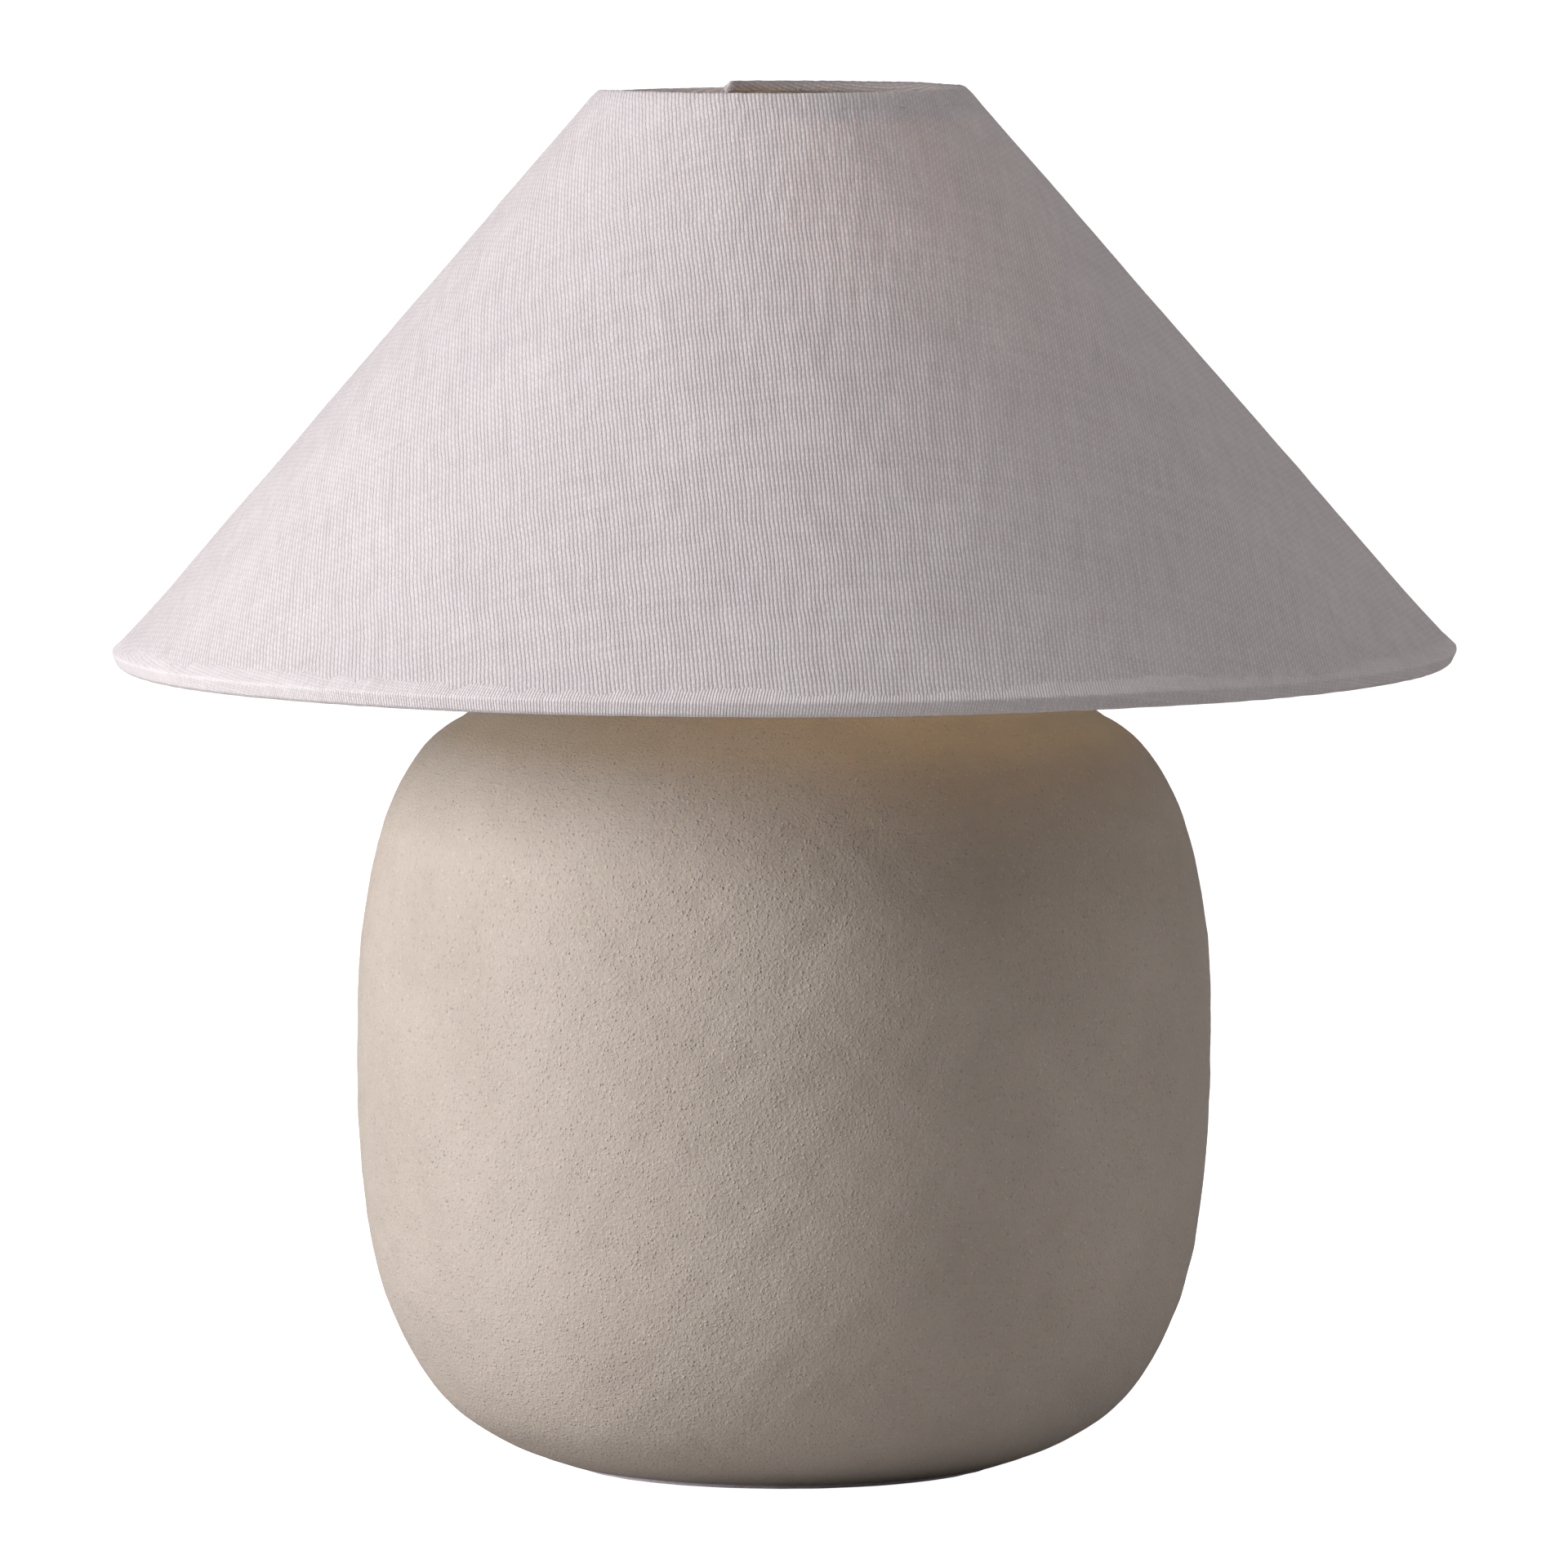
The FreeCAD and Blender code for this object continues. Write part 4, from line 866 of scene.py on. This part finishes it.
def roll(name, ring, z0, path, inward, cols, seed, skew, bulge=None, thick=0.40):
    """Cloth turned over a wire: a closed thin section swept round the lamp. path is the outer side of the section,
    and inward is the side of it the wire lies on: 1 for the left, -1 for the right."""
    path = np.array(densify(path, 0.5, closed=False))
    for _ in range(2):
        path[1:-1] = path[1:-1] * 0.6 + (path[:-2] + path[2:]) * 0.2
    tangent = np.gradient(path, axis=0)
    tangent /= np.linalg.norm(tangent, axis=1)[:, None]
    inner_path = path + np.stack([-tangent[:, 1], tangent[:, 0]], -1) * thick * inward
    section_pts = np.concatenate([path, inner_path[::-1]])
    if inward < 0:
        section_pts = section_pts[::-1]
    wave = ripple(seed, 30, 0.045, (20, 140), (0.0, 0.02))
    slow_wave = ripple(seed + 1, 10, 0.06, (2, 12), (0.0, 0.02))
    length = np.concatenate([[0], np.cumsum(np.hypot(*np.diff(np.vstack([section_pts, section_pts[:1]]), axis=0).T))])
    n = len(section_pts)
    theta = SEAM + np.arange(cols) / cols * TAU
    T = np.broadcast_to(theta[None, :], (n, cols))
    C = np.broadcast_to(section_pts[:, None, :] - np.array([ring, z0]), (n, cols, 2)).copy()
    C = C + (wave(T, length[:n, None]) + slow_wave(T, length[:n, None]))[..., None] * np.array([NR, NZ])
    if bulge is not None:
        C = bulge(T, C)
    R, Z = ring + C[..., 0], z0 + C[..., 1]
    P = np.stack([R * np.cos(T), R * np.sin(T), Z], -1) * MM
    quads, cr, cc = grid_faces(n, cols, True, True)
    th = SEAM + cc / cols * TAU
    # the strip is cut on the skew, so its threads lie at an angle to the rim
    u0, v0 = th * ring, length[cr]
    if skew is None:
        uv = flat_cloth(th, 5.0 - v0)
    else:
        k = math.radians(skew)
        uv = np.stack([u0 * math.cos(k) - v0 * math.sin(k), u0 * math.sin(k) + v0 * math.cos(k)], -1)
    return make_mesh(name, lean(P).reshape(-1, 3), quads, {"threads": uv}, 60)


def top_dip(T):
    """How far the top edge lies down the slope, in mm: from the lap round the left the cloth is pulled lower."""
    back = (T - SEAM + math.pi) % TAU - math.pi  # 0 at the lap, positive to the left
    return 2.1 * np.clip(back / math.radians(1.8) + 0.5, 0, 1) * np.clip((math.radians(96) - back) / math.radians(50), 0, 1)


def top_bulge(T, C):
    d = top_dip(T)
    return C + np.stack([d * NZ, -d * NR], -1)


hem_path = [face(180.8, 0.06), face(182.5, 0.40)] + fillet([
    face(183.9, 0.64), (168.66, 205.35, 0.7), (167.25, 202.35, 1.0), (166.05, 201.55, 1.2), (164.2, 201.95, 1.2),
    (163.55, 203.9, 1.2), face(183.2, -1.62), face(176.5, -1.52),
], 6)[1:]
hem = roll("bottom_hem_roll", 166.22, 204.1, hem_path, -1, 672, 41, 8)
give(hem, M["hem_fabric"], "shade", "shade_fabric", "bottom_hem")
line = math.atan2(NZ, NR)
rim_path = [face(5.0, 0.03), face(3.4, 0.05), face(2.4, 0.06)]
rim_path += [(44.92 + 1.62 * math.cos(q), 344.4 + 1.62 * math.sin(q)) for q in np.linspace(line + 0.05, line + math.pi + 0.2, 22)]
rim_path += [face(3.4, -1.60), face(8.5, -1.50)]
rim = roll("top_rim_roll", 44.92, 344.4, rim_path, 1, 420, 51, None, top_bulge)
give(rim, M["rim_fabric"], "shade", "shade_fabric", "top_rim")

ring_profile = [(44.92 + 1.05 * math.cos(q), 344.4 + 1.05 * math.sin(q)) for q in np.arange(16) / 16 * TAU]
top_wire = lathe("top_wire", ring_profile, 256, True, lambda t, r, z: (r + top_dip(t) * NZ, z - top_dip(t) * NR), start=SEAM)
top_wire_pts = np.empty(len(top_wire.data.vertices) * 3, np.float32)
top_wire.data.vertices.foreach_get("co", top_wire_pts)
top_wire.data.vertices.foreach_set("co", lean(top_wire_pts.reshape(-1, 3)).astype(np.float32).ravel())
give(top_wire, M["enamel"], "shade", "spider_enamel", "top_wire_ring")

flat_area = SINA * math.pi * ((apex + COVER_S1) ** 2 - (apex + COVER_S0) ** 2) * MM * MM
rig.sheet(cover, flat=(0.514, 0.378), held="stretched", rests_on=["shade_backing"], with_pieces=[hem, rim], area=round(flat_area, 4))

# ------------------------------------------------------------------------------------------------------------------
# Lampholder, clamp ring and bulb
# ------------------------------------------------------------------------------------------------------------------
def threaded(r, z, theta, pitch, depth, z_low, z_high, fade, shape=1.0):
    """Radius change of a round thread between two heights."""
    phase = (z - z_low) / pitch - theta / TAU
    wave = 0.5 + 0.5 * np.cos(TAU * phase)
    wave = wave ** shape
    env = np.clip((z - z_low) / fade, 0, 1) * np.clip((z_high - z) / fade, 0, 1)
    return -depth * (1 - wave) * env


holder_profile = densify(fillet([
    (15.5, 238.05), (17.5, 238.05, 0.2), (17.5, 240.5, 0.3), (25.0, 240.5, 0.5), (25.0, 243.0, 0.5), (18.8, 243.0, 0.2),
    (18.8, 244.2, 0.2), (19.5, 244.8, 0.2), (19.5, 270.0, 0.8), (14.2, 270.0, 0.8), (14.2, 245.0, 0.2), (15.5, 244.0, 0.2),
], 4), 0.35)


def holder_thread(t, r, z):
    outside = r > 18.6
    return np.where(outside & (z > 245.2), r + threaded(r, z, t, 2.4, 0.55, 245.4, 269.0, 1.2, 0.7), r), z


holder = lathe("lampholder_shell", holder_profile, 160, True, holder_thread, sharp=45)
give(holder, M["white_plastic"], "base", "holder_plastic", "holder_shell")

cap_profile = densify(fillet([
    (11.45, 245.66), (11.8, 245.66), (13.1, 247.45, 0.5), (13.1, 263.0, 0.3), (12.5, 264.1, 0.3), (12.5, 266.55),
    (12.15, 266.55), (12.15, 264.0, 0.2), (12.75, 262.9, 0.2), (12.75, 247.7), (11.45, 246.1),
], 3), 0.28)


def cap_thread(t, r, z):
    return r + threaded(r, z, t, 3.62, 0.95, 247.6, 262.6, 1.4, 1.0), z


cap = lathe("bulb_cap_thread", cap_profile, 128, True, cap_thread, sharp=50)
give(cap, M["cap_metal"], "bulb", "bulb_cap_metal", "bulb_screw_cap")

glass_outer = [(12.0, 263.0), (12.0, 267.0)]
glass_outer += arc((12.0, 268.0), (17.5, 294.0), 75.0, 16)
glass_outer += arc((17.5, 294.0), (6.5, 334.31), 78.0, 26)
glass_outer += arc((6.5, 334.31), (0.05, 338.0), 7.6, 10) + [(0.05, 337.99)]
g_out = np.array(glass_outer)
for _ in range(2):
    g_out[1:-1] = g_out[1:-1] * 0.5 + (g_out[:-2] + g_out[2:]) * 0.25
tangent = np.gradient(g_out, axis=0)
tangent /= np.linalg.norm(tangent, axis=1)[:, None]
g_in = g_out + np.stack([-tangent[:, 1], tangent[:, 0]], -1) * 0.7
g_in[:, 0] = np.maximum(g_in[:, 0], 0.05)
glass = lathe("bulb_envelope", [tuple(p) for p in g_out] + [tuple(p) for p in g_in[::-1]], 96, True, sharp=60)
give(glass, M["glass"], "bulb", "bulb_clear", "bulb_glass")

stem_profile = [(0.05, 263.5), (8.0, 263.5)] + [(3.2 + 4.8 * (1 - k / 8) ** 2.2, 264.2 + 9.5 * k / 8) for k in range(9)]
stem_profile += [(2.6, 279.0), (2.2, 284.0), (2.1, 290.0), (2.2, 304.0), (1.5, 307.5), (1.1, 309.5), (1.1, 318.0), (1.5, 318.8), (1.2, 319.7), (0.05, 319.9)]
stem = lathe("bulb_stem_glass", densify(stem_profile, 1.5), 48, True, sharp=60)
give(stem, M["glass"], "bulb", "bulb_clear", "bulb_stem")

strands = []
for k in range(4):
    a = math.radians(45 + 90 * k)
    cx, cy = 5.0 * math.cos(a), 5.0 * math.sin(a)
    prof = [(0.02, 285.0)] + [(0.75 * math.sin(q), 285.75 - 0.75 * math.cos(q)) for q in np.linspace(0.3, math.pi / 2, 6)]
    prof += [(0.75, z) for z in np.linspace(287.0, 314.0, 40)]
    prof += [(0.75 * math.cos(q), 315.25 + 0.75 * math.sin(q)) for q in np.linspace(0, math.pi / 2 - 0.3, 6)] + [(0.02, 316.0)]
    st = lathe(f"strand_{k}", prof, 20, False, lambda t, r, z: (r * (1 + 0.05 * np.cos(TAU * z / 1.5)), z))
    st.data.transform(__import__("mathutils").Matrix.Translation((cx * MM, cy * MM, 0)))
    strands.append(st)
depsgraph = bpy.context.evaluated_depsgraph_get()
import bmesh
bm = bmesh.new()
for st in strands:
    bm.from_mesh(st.data)
joined = bpy.data.meshes.new("filament_strands")
bm.to_mesh(joined)
bm.free()
for st in strands:
    bpy.data.objects.remove(st)
filaments = bpy.data.objects.new("filament_strands", joined)
scene.collection.objects.link(filaments)
give(filaments, M["filament"], "bulb", "filament", "led_filaments")

# ------------------------------------------------------------------------------------------------------------------
# CAD pieces that keep their shape get their materials
# ------------------------------------------------------------------------------------------------------------------
KEPT = {
    "bottom_plate": "board", "cable_bushing": "bushing", "threaded_nipple": "zinc", "seal_washer": "rubber", "neck_cap": "neck_paint",
    "clamp_washer": "zinc", "lock_washer": "zinc", "hex_nut": "zinc", "holder_cap": "white_plastic", "holder_grub_screw": "zinc",
    "contact_block": "block", "holder_terminals": "brass", "terminal_screws": "zinc", "centre_contact": "brass",
    "screw_shell_contact": "brass", "terminal_block": "nylon", "terminal_block_screws": "zinc", "lead_live": "brown_lead",
    "lead_neutral": "blue_lead", "shade_seat_washer": "white_plastic", "fitter_ring": "enamel", "spider_arms": "enamel",
    "bottom_wire_ring": "enamel", "clamp_ring": "white_plastic", "bulb_centre_contact": "solder",
    "bulb_insulator": "vitrite", "filament_supports": "nickel",
}
for node, key in KEPT.items():
    ob = frame["nodes"][node]
    ob.data.materials.clear()
    ob.data.materials.append(M[key])

# ------------------------------------------------------------------------------------------------------------------
# Stage and light
# ------------------------------------------------------------------------------------------------------------------
g = Graph("stage_white")
diffuse = g.principled(Base_Color=(0.62, 0.62, 0.625), Roughness=0.9, Specular_IOR_Level=0.1)
glow = g.nt.nodes.new("ShaderNodeEmission")
glow.inputs["Color"].default_value = (1.0, 1.0, 1.0, 1.0)
glow.inputs["Strength"].default_value = 1.0
seen = g.nt.nodes.new("ShaderNodeLightPath")
shown = g.nt.nodes.new("ShaderNodeAddShader")
g.nt.links.new(diffuse, shown.inputs[0])
g.nt.links.new(glow.outputs[0], shown.inputs[1])
pick = g.nt.nodes.new("ShaderNodeMixShader")
g.nt.links.new(seen.outputs["Is Camera Ray"], pick.inputs[0])
dim = g.principled(Base_Color=(0.62, 0.61, 0.605), Roughness=0.9, Specular_IOR_Level=0.1)
g.nt.links.new(dim, pick.inputs[1])
g.nt.links.new(shown.outputs[0], pick.inputs[2])
stage_mat = g.done(pick.outputs[0])
stage_rows = []
for k in range(25):
    a = math.radians(90 * k / 24)
    stage_rows.append((4.2 + 1.6 * math.sin(a), 1.6 - 1.6 * math.cos(a)))
line = [(-6.0, 0.0), (-2.0, 0.0), (0.0, 0.0), (2.0, 0.0)] + stage_rows + [(5.8, 5.5)]
verts, quads = [], []
for y, z in line:
    for x in (-7.0, -3.0, 0.0, 3.0, 7.0):
        verts.append((x, y, z - 0.0002))
for i in range(len(line) - 1):
    for j in range(4):
        a = i * 5 + j
        quads.append((a, a + 1, a + 6, a + 5))
stage = make_mesh("stage_floor", verts, quads)
stage.data.materials.append(stage_mat)
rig.stage(stage)


def area(name, azimuth, elevation, distance, size, power, colour, target=(0, 0, 0.17)):
    """A soft box at an azimuth from the front (negative: left), aimed at the lamp."""
    d = bpy.data.lights.new(name, "AREA")
    d.shape = "RECTANGLE"
    d.size, d.size_y = size
    d.energy = power
    d.color = colour
    ob = bpy.data.objects.new(name, d)
    scene.collection.objects.link(ob)
    az, el = math.radians(azimuth), math.radians(elevation)
    at = Vector(target) + Vector((math.sin(az) * math.cos(el), -math.cos(az) * math.cos(el), math.sin(el))) * distance
    ob.location = at
    ob.rotation_euler = (Vector(target) - at).to_track_quat("-Z", "Y").to_euler()
    return ob


area("key", -69, 15, 1.9, (0.9, 1.1), 45.5, (1.0, 0.985, 0.99))
area("rim_right", 110, 10, 2.2, (0.8, 1.2), 7.8, (1.0, 0.97, 0.97))
area("top_soft", 36, 56, 2.6, (2.0, 2.0), 14.8, (1.0, 0.975, 0.965))

world = bpy.data.worlds.new("world")
scene.world = world
world.use_nodes = True
bg = world.node_tree.nodes["Background"]
bg.inputs[0].default_value = (1.0, 0.955, 0.94, 1.0)
bg.inputs[1].default_value = 0.185

lamp = bpy.data.lights.new("bulb_light", "SPOT")
lamp.energy = 1.05
lamp.color = (1.0, 0.66, 0.34)
lamp.shadow_soft_size = 0.004
lamp.spot_size = math.radians(112)
lamp.spot_blend = 1.0
lamp_ob = bpy.data.objects.new("bulb_light", lamp)
scene.collection.objects.link(lamp_ob)
lamp_ob.location = (0, 0, 0.298)
lamp_ob.rotation_euler = Vector((math.cos(math.radians(292)), math.sin(math.radians(292)), 0.26)).to_track_quat("-Z", "Y").to_euler()
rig.ride(lamp_ob, "bulb_contact")
pool = bpy.data.lights.new("bulb_pool", "AREA")
pool.shape = "DISK"
pool.size = 0.03
pool.energy = 0.17
pool.color = (1.0, 0.97, 0.52)
pool_ob = bpy.data.objects.new("bulb_pool", pool)
scene.collection.objects.link(pool_ob)
pool_ob.location = (0, 0, 0.2835)
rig.ride(pool_ob, "bulb_contact")
for ob in (lamp_ob, pool_ob):
    ob.visible_camera = False
    ob.visible_glossy = False
    ob.visible_transmission = False

json.dump({"cad": [list(map(float, c)) for c in cad_box], "visual": [list(map(float, c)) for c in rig.bounds()]}, open("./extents.json", "w"))
